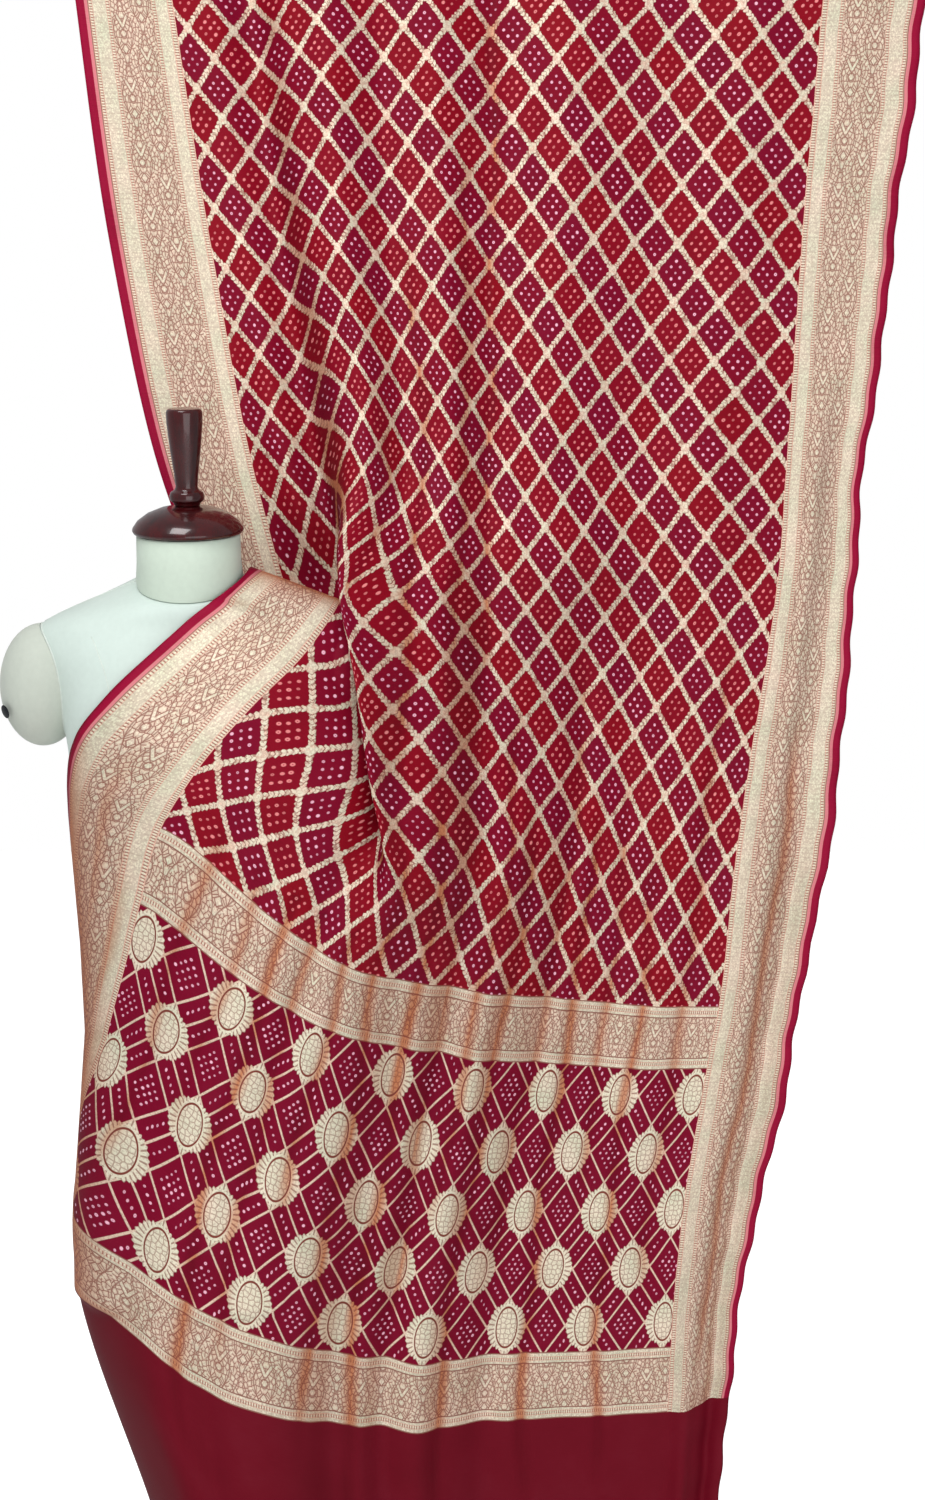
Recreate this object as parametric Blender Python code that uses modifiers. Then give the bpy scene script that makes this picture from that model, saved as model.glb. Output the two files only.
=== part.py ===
"""A bandhani saree, shown open: hung from its top edge and brought forward over
the shoulder of a padded dress form, so that it sweeps across the chest to the
form's other side.  Metres, +Z up, origin under the middle of the stand's base.
The form faces -Y.

Saree: one sheet.  Its flat sizes are a width from the left selvedge, "across",
and a length from the hem, "along".
"""

import math

import bmesh
import bpy
import numpy as np
from mathutils import Matrix, Vector

# --- Saree, cut sizes -------------------------------------------------------
SAREE_WIDTH = 1.10        # selvedge to selvedge
SAREE_LENGTH = 2.075      # hem to the hung top edge
BORDER_WIDTH = 0.138      # zari border, selvedge included
INNER_LINE = SAREE_WIDTH - BORDER_WIDTH
SAREE_THICKNESS = 0.0014
TOP_HEIGHT = 2.15         # height of the hung edge
LAYER_GAP = 0.007         # between the layers of the shoulder pleat
CLEARANCE = 0.0060        # cloth to form
DRAW_IN = 0.8             # the cloth may draw in this steeply below the form
SHOULDER_TOP = 1.44       # the cloth keeps clear of the body up to here

# --- Dress form -------------------------------------------------------------
FORM_SIDES = 44
FORM_BOTTOM = 0.600
HEM_ROUND = 0.035         # height of the body's rounded lower rim
NECK_BOTTOM = 1.4205      # foot of the neck's leaning middle line
NECK_LENGTH = 0.042
NECK_TILT = math.radians(10.0)   # the neck leans towards the chest
ARM_CENTRE = Vector((0.166, 0.0, 1.293))
ARM_RADII = Vector((0.047, 0.054, 0.069))
ARM_GAP = 0.0012          # seam between the body and a stump
BOLT_RADIUS = 0.0105
BOLT_LENGTH = 0.006
BOLT_CLEAR = 0.0020       # the head's rim stands off the stump's curve
BOLT_PLACE = Vector((-0.66, -0.64, -0.39)).normalized()   # on a stump of unit radii

# --- Stand ------------------------------------------------------------------
BASE_RADIUS = 0.190
BASE_HEIGHT = 0.030
POLE_RADIUS = 0.0150
COLLAR_RADIUS = 0.026
COLLAR_HEIGHT = 0.050
TOUCH_GAP = 0.0004        # left between pieces that meet

# Sections of the padded body, from the hip up to the neck seam.
# Columns: z, half width, half depth, middle y, rise per metre towards the back.
FORM_SECTIONS = (
    (0.600, 0.1290, 0.0940, 0.004, 0.0),
    (0.612, 0.1345, 0.0990, 0.004, 0.0),
    (0.680, 0.1365, 0.1020, 0.005, 0.0),
    (0.780, 0.1280, 0.0950, 0.004, 0.0),
    (0.900, 0.1180, 0.0860, 0.000, 0.0),
    (1.000, 0.1205, 0.0900, -0.005, 0.0),
    (1.100, 0.1270, 0.0990, -0.010, 0.0),
    (1.180, 0.1320, 0.1070, -0.012, 0.0),
    (1.235, 0.1370, 0.1040, -0.006, 0.0),
    (1.285, 0.1530, 0.0930, 0.000, 0.0),
    (1.325, 0.1760, 0.0810, 0.002, 0.0),
    (1.350, 0.1835, 0.0690, 0.002, 0.0),
    (1.366, 0.1620, 0.0650, 0.001, 0.08),
    (1.381, 0.1290, 0.0640, 0.000, 0.16),
    (1.394, 0.0960, 0.0625, 0.000, 0.26),
    (1.403, 0.0720, 0.0610, 0.000, 0.35),
    (1.4075, 0.0600, 0.0600, 0.000, 0.40),
)
# The same for the neck, from its seam up to the cap.
NECK_SECTIONS = (
    (1.4080, 0.0585, 0.0585, 0.000, 0.40),
    (1.4125, 0.0595, 0.0595, 0.000, 0.38),
    (1.4320, 0.0580, 0.0580, -0.003, 0.28),
    (1.4600, 0.0575, 0.0572, -0.0069, 0.176),
    (1.4619, 0.0560, 0.0557, -0.0073, 0.176),
)

# Turned outlines, from the top down: radius, height.
CAP_PROFILE = (
    (0.0, 0.0300), (0.0160, 0.0300), (0.0300, 0.0275), (0.0450, 0.0215), (0.0560, 0.0135),
    (0.0610, 0.0065), (0.0620, 0.0035), (0.0600, 0.0), (0.0, 0.0),
)
HANDLE_PROFILE = (
    (0.0, 0.1065), (0.0165, 0.1065), (0.0190, 0.1050), (0.0200, 0.1020), (0.0198, 0.0900),
    (0.0170, 0.0620), (0.0135, 0.0350), (0.0122, 0.0205), (0.0135, 0.0175), (0.0178, 0.0150),
    (0.0194, 0.0110), (0.0190, 0.0060), (0.0150, 0.0030), (0.0140, 0.0), (0.0, 0.0),
)
BASE_PROFILE = (
    (0.0, 0.0300), (0.030, 0.0300), (0.038, 0.0265), (0.060, 0.0235), (0.150, 0.0185),
    (0.178, 0.0155), (0.187, 0.0115), (0.190, 0.0060), (0.188, 0.0), (0.0, 0.0),
)

# The saree's lengthwise lines.  Each has a row for every cross section, from
# the hem up: hem; lower band's bottom and top; middle of the end panel; upper
# band's bottom and top; foot of the pleat; low chest; high chest; shoulder ridge;
# dip behind the shoulder; above the shoulder; well above; hung edge.
# Columns: across, along, x, y, z.
LEFT_SELVEDGE = (
    (0.000, 0.000, 0.040, 0.100, 0.335),
    (0.000, 0.280, -0.058, 0.112, 0.610),
    (0.000, 0.367, -0.070, 0.115, 0.700),
    (0.000, 0.552, -0.108, 0.062, 0.895),
    (0.000, 0.737, -0.131, 0.000, 1.082),
    (0.000, 0.820, -0.128, -0.038, 1.165),
    (0.000, 0.868, -0.127, -0.055, 1.213),
    (0.000, 0.930, -0.083, -0.082, 1.279),
    (0.000, 1.030, 0.006, -0.068, 1.366),
    (0.000, 1.135, 0.068, 0.008, 1.424),
    (0.000, 1.285, 0.020, 0.112, 1.368),
    (0.000, 1.430, -0.040, 0.110, 1.510),
    (0.000, 1.725, -0.108, 0.145, 1.800),
    (0.000, SAREE_LENGTH, -0.155, 0.160, TOP_HEIGHT),
)
LEFT_BORDER = (
    (BORDER_WIDTH, 0.000, -0.060, 0.030, 0.335),
    (BORDER_WIDTH, 0.280, -0.142, 0.020, 0.612),
    (BORDER_WIDTH, 0.367, -0.144, 0.018, 0.700),
    (BORDER_WIDTH, 0.552, -0.090, -0.055, 0.885),
    (BORDER_WIDTH, 0.737, -0.042, -0.100, 1.060),
    (BORDER_WIDTH, 0.820, -0.016, -0.112, 1.146),
    (BORDER_WIDTH, 0.905, 0.020, -0.120, 1.205),
    (BORDER_WIDTH, 0.990, 0.076, -0.102, 1.271),
    (BORDER_WIDTH, 1.070, 0.131, -0.070, 1.327),
    (BORDER_WIDTH, 1.150, 0.168, -0.012, 1.385),
    (BORDER_WIDTH, 1.290, 0.112, 0.132, 1.362),
    (BORDER_WIDTH, 1.430, 0.066, 0.135, 1.510),
    (BORDER_WIDTH, 1.725, 0.008, 0.170, 1.800),
    (BORDER_WIDTH, SAREE_LENGTH, -0.046, 0.185, TOP_HEIGHT),
)
PLEAT_UNDER = (                # where the chest cloth goes under the pleat
    (0.266, 0.000, 0.004, -0.060, 0.290),
    (0.266, 0.280, -0.046, -0.100, 0.567),
    (0.266, 0.367, -0.036, -0.106, 0.645),
    (0.266, 0.552, 0.007, -0.104, 0.817),
    (0.266, 0.737, 0.066, -0.110, 0.976),
    (0.266, 0.820, 0.095, -0.108, 1.050),
    (0.315, 0.930, 0.164, -0.088, 1.116),
    (0.280, 1.010, 0.202, -0.058, 1.193),
    (0.203, 1.080, 0.186, -0.050, 1.292),
    (0.152, 1.152, 0.177, -0.016, 1.380),
    (0.175, 1.295, 0.148, 0.132, 1.365),
    (0.190, 1.430, 0.108, 0.118, 1.510),
    (0.190, 1.725, 0.052, 0.166, 1.800),
    (0.190, SAREE_LENGTH, 0.003, 0.195, TOP_HEIGHT),
)
PLEAT_BEND = (                 # the pleat's hidden inner bend
    (0.340, 0.000, 0.050, -0.072, 0.232),
    (0.340, 0.280, 0.018, -0.098, 0.512),
    (0.340, 0.367, 0.028, -0.104, 0.600),
    (0.340, 0.552, 0.068, -0.098, 0.775),
    (0.340, 0.737, 0.120, -0.094, 0.937),
    (0.340, 0.820, 0.142, -0.092, 1.011),
    (0.365, 0.922, 0.202, -0.068, 1.096),
    (0.335, 1.020, 0.232, -0.020, 1.190),
    (0.285, 1.110, 0.229, -0.010, 1.303),
    (0.250, 1.190, 0.212, 0.002, 1.382),
    (0.240, 1.310, 0.184, 0.092, 1.398),
    (0.235, 1.432, 0.142, 0.118, 1.512),
    (0.235, 1.725, 0.090, 0.168, 1.800),
    (0.235, SAREE_LENGTH, 0.045, 0.205, TOP_HEIGHT),
)
PLEAT_EDGE = (                 # the pleat's edge that lies on top
    (0.420, 0.000, 0.108, -0.066, 0.198),
    (0.420, 0.280, 0.088, -0.080, 0.478),
    (0.420, 0.367, 0.096, -0.084, 0.566),
    (0.420, 0.552, 0.134, -0.070, 0.728),
    (0.420, 0.737, 0.174, -0.064, 0.905),
    (0.420, 0.820, 0.190, -0.066, 0.980),
    (0.415, 0.920, 0.222, -0.088, 1.080),
    (0.400, 1.045, 0.204, -0.094, 1.195),
    (0.375, 1.170, 0.187, -0.082, 1.310),
    (0.358, 1.262, 0.170, -0.048, 1.392),
    (0.335, 1.313, 0.168, -0.012, 1.436),
    (0.300, 1.405, 0.177, 0.048, 1.520),
    (0.290, 1.713, 0.134, 0.130, 1.803),
    (0.285, SAREE_LENGTH, 0.091, 0.186, TOP_HEIGHT),
)
RIGHT_BORDER = (
    (INNER_LINE, 0.000, 0.548, 0.165, 0.100),
    (INNER_LINE, 0.280, 0.560, 0.168, 0.378),
    (INNER_LINE, 0.367, 0.563, 0.170, 0.461),
    (INNER_LINE, 0.552, 0.578, 0.176, 0.634),
    (INNER_LINE, 0.737, 0.606, 0.185, 0.808),
    (INNER_LINE, 0.820, 0.621, 0.190, 0.885),
    (INNER_LINE, 1.010, 0.642, 0.200, 1.080),
    (INNER_LINE, 1.120, 0.659, 0.205, 1.195),
    (INNER_LINE, 1.235, 0.677, 0.210, 1.310),
    (INNER_LINE, 1.310, 0.687, 0.213, 1.385),
    (INNER_LINE, 1.355, 0.692, 0.215, 1.430),
    (INNER_LINE, 1.435, 0.698, 0.220, 1.510),
    (INNER_LINE, 1.725, 0.714, 0.222, 1.800),
    (INNER_LINE, SAREE_LENGTH, 0.740, 0.222, TOP_HEIGHT),
)
RIGHT_SELVEDGE = (
    (SAREE_WIDTH, 0.000, 0.606, 0.180, 0.112),
    (SAREE_WIDTH, 0.280, 0.640, 0.182, 0.390),
    (SAREE_WIDTH, 0.367, 0.644, 0.183, 0.470),
    (SAREE_WIDTH, 0.552, 0.676, 0.186, 0.640),
    (SAREE_WIDTH, 0.737, 0.711, 0.194, 0.812),
    (SAREE_WIDTH, 0.820, 0.724, 0.200, 0.887),
    (SAREE_WIDTH, 1.010, 0.757, 0.208, 1.080),
    (SAREE_WIDTH, 1.120, 0.772, 0.212, 1.195),
    (SAREE_WIDTH, 1.235, 0.780, 0.216, 1.310),
    (SAREE_WIDTH, 1.310, 0.784, 0.220, 1.385),
    (SAREE_WIDTH, 1.355, 0.788, 0.222, 1.430),
    (SAREE_WIDTH, 1.435, 0.794, 0.225, 1.510),
    (SAREE_WIDTH, 1.725, 0.827, 0.226, 1.800),
    (SAREE_WIDTH, SAREE_LENGTH, 0.866, 0.226, TOP_HEIGHT),
)
CENTRE_LINES = 5               # extra lines between the pleat's edge and the right border
EASE_HIGH = 1.9                # how quickly the cloth falls back behind the form,
EASE_LOW = 3.4                 # above the end panel and at its foot
BACK_POWER = (2.0, 2.0, 2.0, 2.0, 1.9, 1.8, 2.0, 2.6, 2.6, 2.0, 1.5, 1.2, 1.2,
              1.2)             # the same in depth, a value for each section
SWELL_REACH = 0.14
EDGE_FULLNESS = (0.0, 0.0, 0.0, 0.0, 0.0, 0.010, 0.030, 0.050, 0.052, 0.036, 0.020, 0.0,
                 0.0, 0.0)     # forward swell beside the pleat, a value for each section
CENTRE_PULL = (0.0, 0.0, 0.0, 0.0, 0.0, 0.0, 0.0, 0.004, 0.0, -0.004, -0.016, -0.040,
               -0.022, -0.006)  # sideways pull on the centre, a value for each section

# Soft folds: a trough (negative rise) or ridge that runs from one place across
# the saree at its upper end to another at its lower end.
# Columns: across at the upper end, across at the lower end, along at the upper
# end, along at the lower end, width, rise.
FOLDS = (
    (0.235, 0.235, 2.30, 1.20, 0.050, -0.014),
    (0.340, 0.330, 2.20, 1.30, 0.044, 0.014),
    (0.405, 0.400, 2.10, 1.30, 0.034, -0.011),
    (0.470, 0.500, 2.30, 0.66, 0.040, 0.012),
    (0.550, 0.545, 2.30, 0.86, 0.040, -0.014),
    (0.660, 0.650, 2.30, 1.20, 0.070, 0.010),
    (0.790, 0.745, 2.30, 0.30, 0.075, -0.009),
    (0.880, 0.860, 2.30, -0.20, 0.060, 0.007),
    (0.445, 0.440, 1.20, 0.84, 0.030, -0.010),
    (0.600, 0.612, 1.10, -0.20, 0.038, 0.013),
    (0.552, 0.560, 0.90, -0.20, 0.030, -0.012),
    (0.690, 0.700, 1.30, -0.20, 0.042, -0.012),
    (0.480, 0.500, 0.95, -0.20, 0.034, -0.012),
    (0.330, 0.345, 1.00, 0.05, 0.034, -0.007),
    (1.010, 0.990, 1.60, -0.20, 0.034, 0.010),
    (1.055, 1.060, 1.10, -0.20, 0.030, -0.012),
)

# Mesh cells between neighbouring lines, and between neighbouring sections.
CELLS_ACROSS = (7, 8, 4, 4, 4, 4, 4, 4, 4, 4, 6)
CELLS_ALONG = (4, 2, 3, 3, 2, 2, 3, 3, 4, 5, 4, 3, 3)


def smooth(rows, place):
    """Point at a fractional row number on the smooth curve through the rows.

    The last three columns are x, y, z; the curve is timed by the distance
    between neighbouring points, so unevenly spaced rows make no loops."""
    last = len(rows) - 1
    first = min(int(place), last - 1)
    share = place - first
    gaps = np.linalg.norm(np.diff(rows[:, -3:], axis=0), axis=1) ** 0.75 + 1e-6
    slopes = np.diff(rows, axis=0) / gaps[:, None]

    def tangent(i):
        if i == 0:
            return slopes[0]
        if i == last:
            return slopes[-1]
        before, after = gaps[i - 1], gaps[i]
        return (slopes[i - 1] * after + slopes[i] * before) / (before + after)

    gap = gaps[first]
    s2, s3 = share * share, share ** 3
    return (rows[first] * (2 * s3 - 3 * s2 + 1) + rows[first + 1] * (3 * s2 - 2 * s3)
            + tangent(first) * gap * (s3 - 2 * s2 + share) + tangent(first + 1) * gap * (s3 - s2))


def form_section(height):
    """Half width, half depth and middle y of the padded body at a height."""
    table = np.array(FORM_SECTIONS)
    below = max(0.0, FORM_BOTTOM - height) * DRAW_IN
    level = max(height, FORM_BOTTOM + HEM_ROUND)
    width, depth, middle = (float(np.interp(level, table[:, 0], table[:, k])) for k in (1, 2, 3))
    return width - below, depth - below, middle


def shoulder_level(y, z):
    """Height of the section that passes through a place, as the upper ones slope."""
    table = np.array(FORM_SECTIONS)
    level = z
    for step in range(4):
        level = z - y * float(np.interp(level, table[:, 0], table[:, 4]))
    return level


def clear_of_form(point, gap):
    """Move a point of the cloth out to a gap from the body and the arm stump."""
    x, y, z = point
    level = shoulder_level(y, z)
    if FORM_BOTTOM - 0.09 < level < SHOULDER_TOP:
        half_width, half_depth, middle_y = form_section(level)
        reach = math.hypot(x / (half_width + gap), (y - middle_y) / (half_depth + gap))
        if 0.2 < reach < 1.0:
            x = x / reach
            y = middle_y + (y - middle_y) / reach
    radii = ARM_RADII + Vector((gap, gap, gap))
    offset = Vector((x, y, z)) - ARM_CENTRE
    reach = Vector([offset[k] / radii[k] for k in range(3)]).length
    if 0.3 < reach < 1.0:
        x, y, z = ARM_CENTRE + offset / reach
    return x, y, z


def fold_rise(across, along):
    """Height of the soft folds at a place on the flat saree."""
    total = 0.0
    for high, low, top, bottom, width, rise in FOLDS:
        if bottom < along < top:
            share = (along - bottom) / (top - bottom)
            centre = low + (high - low) * share
            fade = min(1.0, (along - bottom) / 0.12, (top - along) / 0.12)
            total += rise * fade * math.exp(-((across - centre) / width) ** 2 * 2.5)
    return total


def cloth_lines():
    """All lengthwise lines, with the centre lines worked out between two of them."""
    left = [np.array(rows) for rows in (LEFT_SELVEDGE, LEFT_BORDER, PLEAT_UNDER,
                                        PLEAT_BEND, PLEAT_EDGE)]
    edge, border = left[-1], np.array(RIGHT_BORDER)
    low = np.clip((edge[:, 1] - 0.367) / (0.820 - 0.367), 0.0, 1.0)
    power = EASE_LOW + (EASE_HIGH - EASE_LOW) * low
    centre = []
    for k in range(1, CENTRE_LINES + 1):
        even = k / (CENTRE_LINES + 1)
        eased = 1.0 - (1.0 - even) ** power
        eased_back = 1.0 - (1.0 - even) ** np.array(BACK_POWER)
        level = np.full_like(eased, even)
        line = edge + (border - edge) * np.stack((level, eased, level, eased_back, eased), axis=1)
        line[:, 2] += np.array(CENTRE_PULL) * 4.0 * even * (1.0 - even)
        line[:, 3] -= np.array(EDGE_FULLNESS) * math.exp(-even / SWELL_REACH)
        centre.append(line)
    return left + centre + [border, np.array(RIGHT_SELVEDGE)]


def fractions(cells):
    """Fractional row numbers of every mesh line, for cell counts between rows."""
    places = [0.0]
    for row, count in enumerate(cells):
        places += [row + (k + 1) / count for k in range(count)]
    return places


def cloth_point(section, column):
    """Place in space at a column on one cross section of the saree."""
    across, along, x, y, z = smooth(section, column)
    layer = min(max(column - 2.0, 0.0), 2.0) * max(0.0, 1.0 - max(0.0, column - 4.0))
    x, y, z = clear_of_form((x, y, z), CLEARANCE + LAYER_GAP * layer)
    y -= fold_rise(across, along)
    return clear_of_form((x, y, z), CLEARANCE)


# --- Blender helpers --------------------------------------------------------
def clear_scene():
    for old in list(bpy.data.objects):
        bpy.data.objects.remove(old, do_unlink=True)


def material(name, colour, roughness, metallic=0.0):
    made = bpy.data.materials.new(name)
    made.use_nodes = True
    shader = made.node_tree.nodes["Principled BSDF"]
    shader.inputs["Base Color"].default_value = (*colour, 1.0)
    shader.inputs["Roughness"].default_value = roughness
    shader.inputs["Metallic"].default_value = metallic
    made.diffuse_color = (*colour, 1.0)
    return made


def add_object(name, mesh, finish, parts):
    made = bpy.data.objects.new(name, mesh)
    parts.objects.link(made)
    mesh.materials.append(finish)
    return made


def mesh_from(name, shape):
    bmesh.ops.recalc_face_normals(shape, faces=shape.faces)
    mesh = bpy.data.meshes.new(name)
    shape.to_mesh(mesh)
    shape.free()
    mesh.shade_smooth()
    return mesh


def add_modifier(target, kind, **settings):
    added = target.modifiers.new(kind.title(), kind)
    for key, value in settings.items():
        setattr(added, key, value)
    return added


def turned(name, profile, steps, finish, parts):
    """A turned piece: (radius, height) pairs from the top down, spun about Z."""
    shape = bmesh.new()
    corners = [shape.verts.new((radius, 0.0, height)) for radius, height in profile]
    for upper, lower in zip(corners, corners[1:]):
        shape.edges.new((upper, lower))
    mesh = bpy.data.meshes.new(name)
    shape.to_mesh(mesh)
    shape.free()
    piece = add_object(name, mesh, finish, parts)
    add_modifier(piece, "SCREW", steps=steps, render_steps=steps, use_merge_vertices=True,
                 merge_threshold=0.00005, use_smooth_shade=True)
    return piece


# --- Pieces -----------------------------------------------------------------
def make_saree(finish, parts):
    lines = cloth_lines()
    along_places = fractions(CELLS_ALONG)
    across_places = fractions(CELLS_ACROSS)
    sections = [np.array([smooth(line, place) for line in lines]) for place in along_places]
    columns, rows = len(across_places) - 1, len(along_places) - 1
    shape = bmesh.new()
    bmesh.ops.create_grid(shape, x_segments=columns, y_segments=rows, size=1.0)
    for corner in shape.verts:
        column = round((corner.co.x + 1.0) / 2.0 * columns)
        row = round((corner.co.y + 1.0) / 2.0 * rows)
        corner.co = cloth_point(sections[row], across_places[column])
    saree = add_object("saree_cloth", mesh_from("saree_cloth", shape), finish, parts)
    add_modifier(saree, "SOLIDIFY", thickness=SAREE_THICKNESS, offset=0.0, use_rim=True)


def rolled_mesh(name, sections, gap=0.0):
    """Padded piece: a sheet rolled round through sections, closed at both ends."""
    shape = bmesh.new()
    last = len(sections) - 1
    bmesh.ops.create_grid(shape, x_segments=FORM_SIDES, y_segments=last, size=1.0)
    for corner in shape.verts:
        section = sections[round((corner.co.y + 1) / 2 * last)]
        height, half_width, half_depth, middle_y, rise_to_back = section
        turn = math.pi * (corner.co.x + 0.5)
        y = middle_y + (half_depth + gap) * math.sin(turn)
        corner.co = ((half_width + gap) * math.cos(turn), y, height + rise_to_back * y)
    bmesh.ops.remove_doubles(shape, verts=shape.verts, dist=0.00005)
    bmesh.ops.holes_fill(shape, edges=shape.edges, sides=FORM_SIDES)
    return mesh_from(name, shape)


def make_arm(side, word, finish, parts, cutters):
    """Padded arm stump: the part of an oval ball outside the body."""
    shape = bmesh.new()
    bmesh.ops.create_uvsphere(shape, u_segments=28, v_segments=14, radius=1.0,
                              matrix=Matrix.Rotation(math.pi / 2, 4, "Y"))
    centre = Vector((side * ARM_CENTRE.x, ARM_CENTRE.y, ARM_CENTRE.z))
    for corner in shape.verts:
        corner.co = centre + Vector([corner.co[k] * ARM_RADII[k] for k in range(3)])
    stump = add_object("arm_stump_" + word, mesh_from("arm_stump_" + word, shape), finish, parts)
    cutter = bpy.data.objects.new("cutter_arm_" + word,
                                  rolled_mesh("cutter_arm_" + word, FORM_SECTIONS, ARM_GAP))
    cutters.objects.link(cutter)
    cutter.hide_render = True
    cutter.display_type = "WIRE"
    add_modifier(stump, "BOOLEAN", object=cutter, operation="DIFFERENCE", solver="EXACT")


def make_bolt(finish, parts):
    """Black screw head on the bare stump, facing out, forward and down."""
    outward = Vector([BOLT_PLACE[k] / ARM_RADII[k] for k in range(3)]).normalized()
    surface = Vector([BOLT_PLACE[k] * ARM_RADII[k] for k in range(3)])
    surface += Vector((-ARM_CENTRE.x, ARM_CENTRE.y, ARM_CENTRE.z))
    shape = bmesh.new()
    bmesh.ops.create_cone(shape, cap_ends=True, segments=20, radius1=BOLT_RADIUS,
                          radius2=BOLT_RADIUS * 0.8, depth=BOLT_LENGTH)
    bolt = add_object("arm_bolt", mesh_from("arm_bolt", shape), finish, parts)
    bolt.rotation_euler = outward.to_track_quat("Z", "Y").to_euler()
    bolt.location = surface + outward * (BOLT_LENGTH / 2 + BOLT_CLEAR)
    bolt.data.set_sharp_from_angle(angle=math.radians(40))


def make_neck(cover, wood, parts):
    """Neck, with a turned cap and handle that lean with it towards the chest."""
    add_object("form_neck", rolled_mesh("form_neck", NECK_SECTIONS), cover, parts)
    lean = bpy.data.objects.new("neck_lean", None)
    parts.objects.link(lean)
    lean.location = (0.0, 0.0, NECK_BOTTOM)
    lean.rotation_euler = (NECK_TILT, 0.0, 0.0)
    cap = turned("neck_cap", CAP_PROFILE, 40, wood, parts)
    handle = turned("cap_handle", HANDLE_PROFILE, 28, wood, parts)
    for piece in (cap, handle):
        piece.parent = lean
    cap.location.z = NECK_LENGTH + TOUCH_GAP
    handle.location.z = NECK_LENGTH + CAP_PROFILE[0][1] + 2 * TOUCH_GAP


def make_stand(wood, metal, parts):
    turned("stand_base", BASE_PROFILE, 48, wood, parts)
    top = FORM_BOTTOM - TOUCH_GAP
    foot = BASE_HEIGHT + TOUCH_GAP
    shape = bmesh.new()
    bmesh.ops.create_cone(shape, cap_ends=True, segments=24, radius1=POLE_RADIUS,
                          radius2=POLE_RADIUS, depth=top - COLLAR_HEIGHT - TOUCH_GAP - foot)
    pole = add_object("stand_pole", mesh_from("stand_pole", shape), metal, parts)
    pole.location.z = (top - COLLAR_HEIGHT - TOUCH_GAP + foot) / 2
    collar = turned("pole_collar", ((0.0, COLLAR_HEIGHT), (COLLAR_RADIUS + 0.012, COLLAR_HEIGHT),
                                    (COLLAR_RADIUS + 0.012, COLLAR_HEIGHT - 0.008),
                                    (COLLAR_RADIUS, COLLAR_HEIGHT - 0.014),
                                    (COLLAR_RADIUS, 0.003), (COLLAR_RADIUS - 0.003, 0.0),
                                    (0.0, 0.0)), 32, wood, parts)
    collar.location.z = top - COLLAR_HEIGHT


def main():
    clear_scene()
    scene_root = bpy.context.scene.collection
    parts = bpy.data.collections.new("bandhani_saree_on_dress_form")
    cutters = bpy.data.collections.new("cutters")
    scene_root.children.link(parts)
    scene_root.children.link(cutters)
    silk = material("red_bandhani_silk", (0.33, 0.012, 0.035), 0.6)
    cover = material("pale_cotton_cover", (0.68, 0.76, 0.71), 0.7)
    wood = material("dark_turned_wood", (0.055, 0.010, 0.010), 0.25)
    steel = material("bright_steel", (0.62, 0.62, 0.62), 0.3, 1.0)
    black = material("blackened_steel", (0.015, 0.018, 0.025), 0.35, 0.6)
    make_saree(silk, parts)
    add_object("form_torso", rolled_mesh("form_torso", FORM_SECTIONS), cover, parts)
    make_arm(-1.0, "right", cover, parts, cutters)
    make_arm(1.0, "left", cover, parts, cutters)
    make_bolt(black, parts)
    make_neck(cover, wood, parts)
    make_stand(wood, steel, parts)


if __name__ == "__main__":
    main()
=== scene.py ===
"""Looks of a bandhani saree on a dress form: the fine cloth with its tied dots and
brocade, the form's sewn cover, turned wood, the stand and a plain studio.

Places on the cloth are its flat sizes in metres: across, from the left selvedge, and
along, from the hem.
"""

import math

import bpy
import numpy as np
from bpy.props import FloatProperty, FloatVectorProperty, IntProperty, PointerProperty
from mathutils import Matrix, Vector, noise


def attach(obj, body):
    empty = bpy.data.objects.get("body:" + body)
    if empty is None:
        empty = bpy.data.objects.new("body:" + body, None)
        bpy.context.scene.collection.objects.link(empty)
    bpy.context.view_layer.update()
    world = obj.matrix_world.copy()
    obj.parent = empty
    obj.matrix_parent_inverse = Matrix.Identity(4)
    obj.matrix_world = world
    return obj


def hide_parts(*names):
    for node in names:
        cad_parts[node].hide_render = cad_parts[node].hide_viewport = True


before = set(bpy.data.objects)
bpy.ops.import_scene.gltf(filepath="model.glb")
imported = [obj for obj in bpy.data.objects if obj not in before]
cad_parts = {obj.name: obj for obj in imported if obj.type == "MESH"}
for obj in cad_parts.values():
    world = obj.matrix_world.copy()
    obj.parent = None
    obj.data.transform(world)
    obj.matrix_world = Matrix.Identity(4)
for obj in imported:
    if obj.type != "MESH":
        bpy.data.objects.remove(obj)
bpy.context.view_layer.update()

bl_info = {
    "name": "Bandhani saree on a dress form",
    "version": (1, 0, 0),
    "blender": (4, 5, 0),
    "location": "3D View > Sidebar > Saree",
    "description": "Drapes a tied and dyed saree with brocade borders over a dress form",
    "category": "Add Mesh",
}

# --- Sizes shared with the construction, in metres ---
SAREE_WIDTH = 1.10
SAREE_LENGTH = 2.075
BORDER_WIDTH = 0.138
INNER_LINE = SAREE_WIDTH - BORDER_WIDTH
TOP_HEIGHT = 2.15
LAYER_GAP = 0.007         # between the layers of the shoulder pleat
CLEARANCE = 0.0060        # cloth to form
DRAW_IN = 0.8             # the cloth may draw in this steeply below the form
SHOULDER_TOP = 1.44       # the cloth keeps clear of the body up to here,
UNDER_FORM = 0.09         # and down to this far below it
BODY_CORE = 0.2           # places nearer the middle than this share are not pushed out
ARM_CORE = 0.3
END_DEPTH = 0.280         # plain end, from the hem
LOWER_BAND = (0.280, 0.367)
UPPER_BAND = (0.737, 0.820)
FORM_BOTTOM = 0.600
HEM_ROUND = 0.035
NECK_BOTTOM = 1.4205
NECK_LENGTH = 0.042
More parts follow.
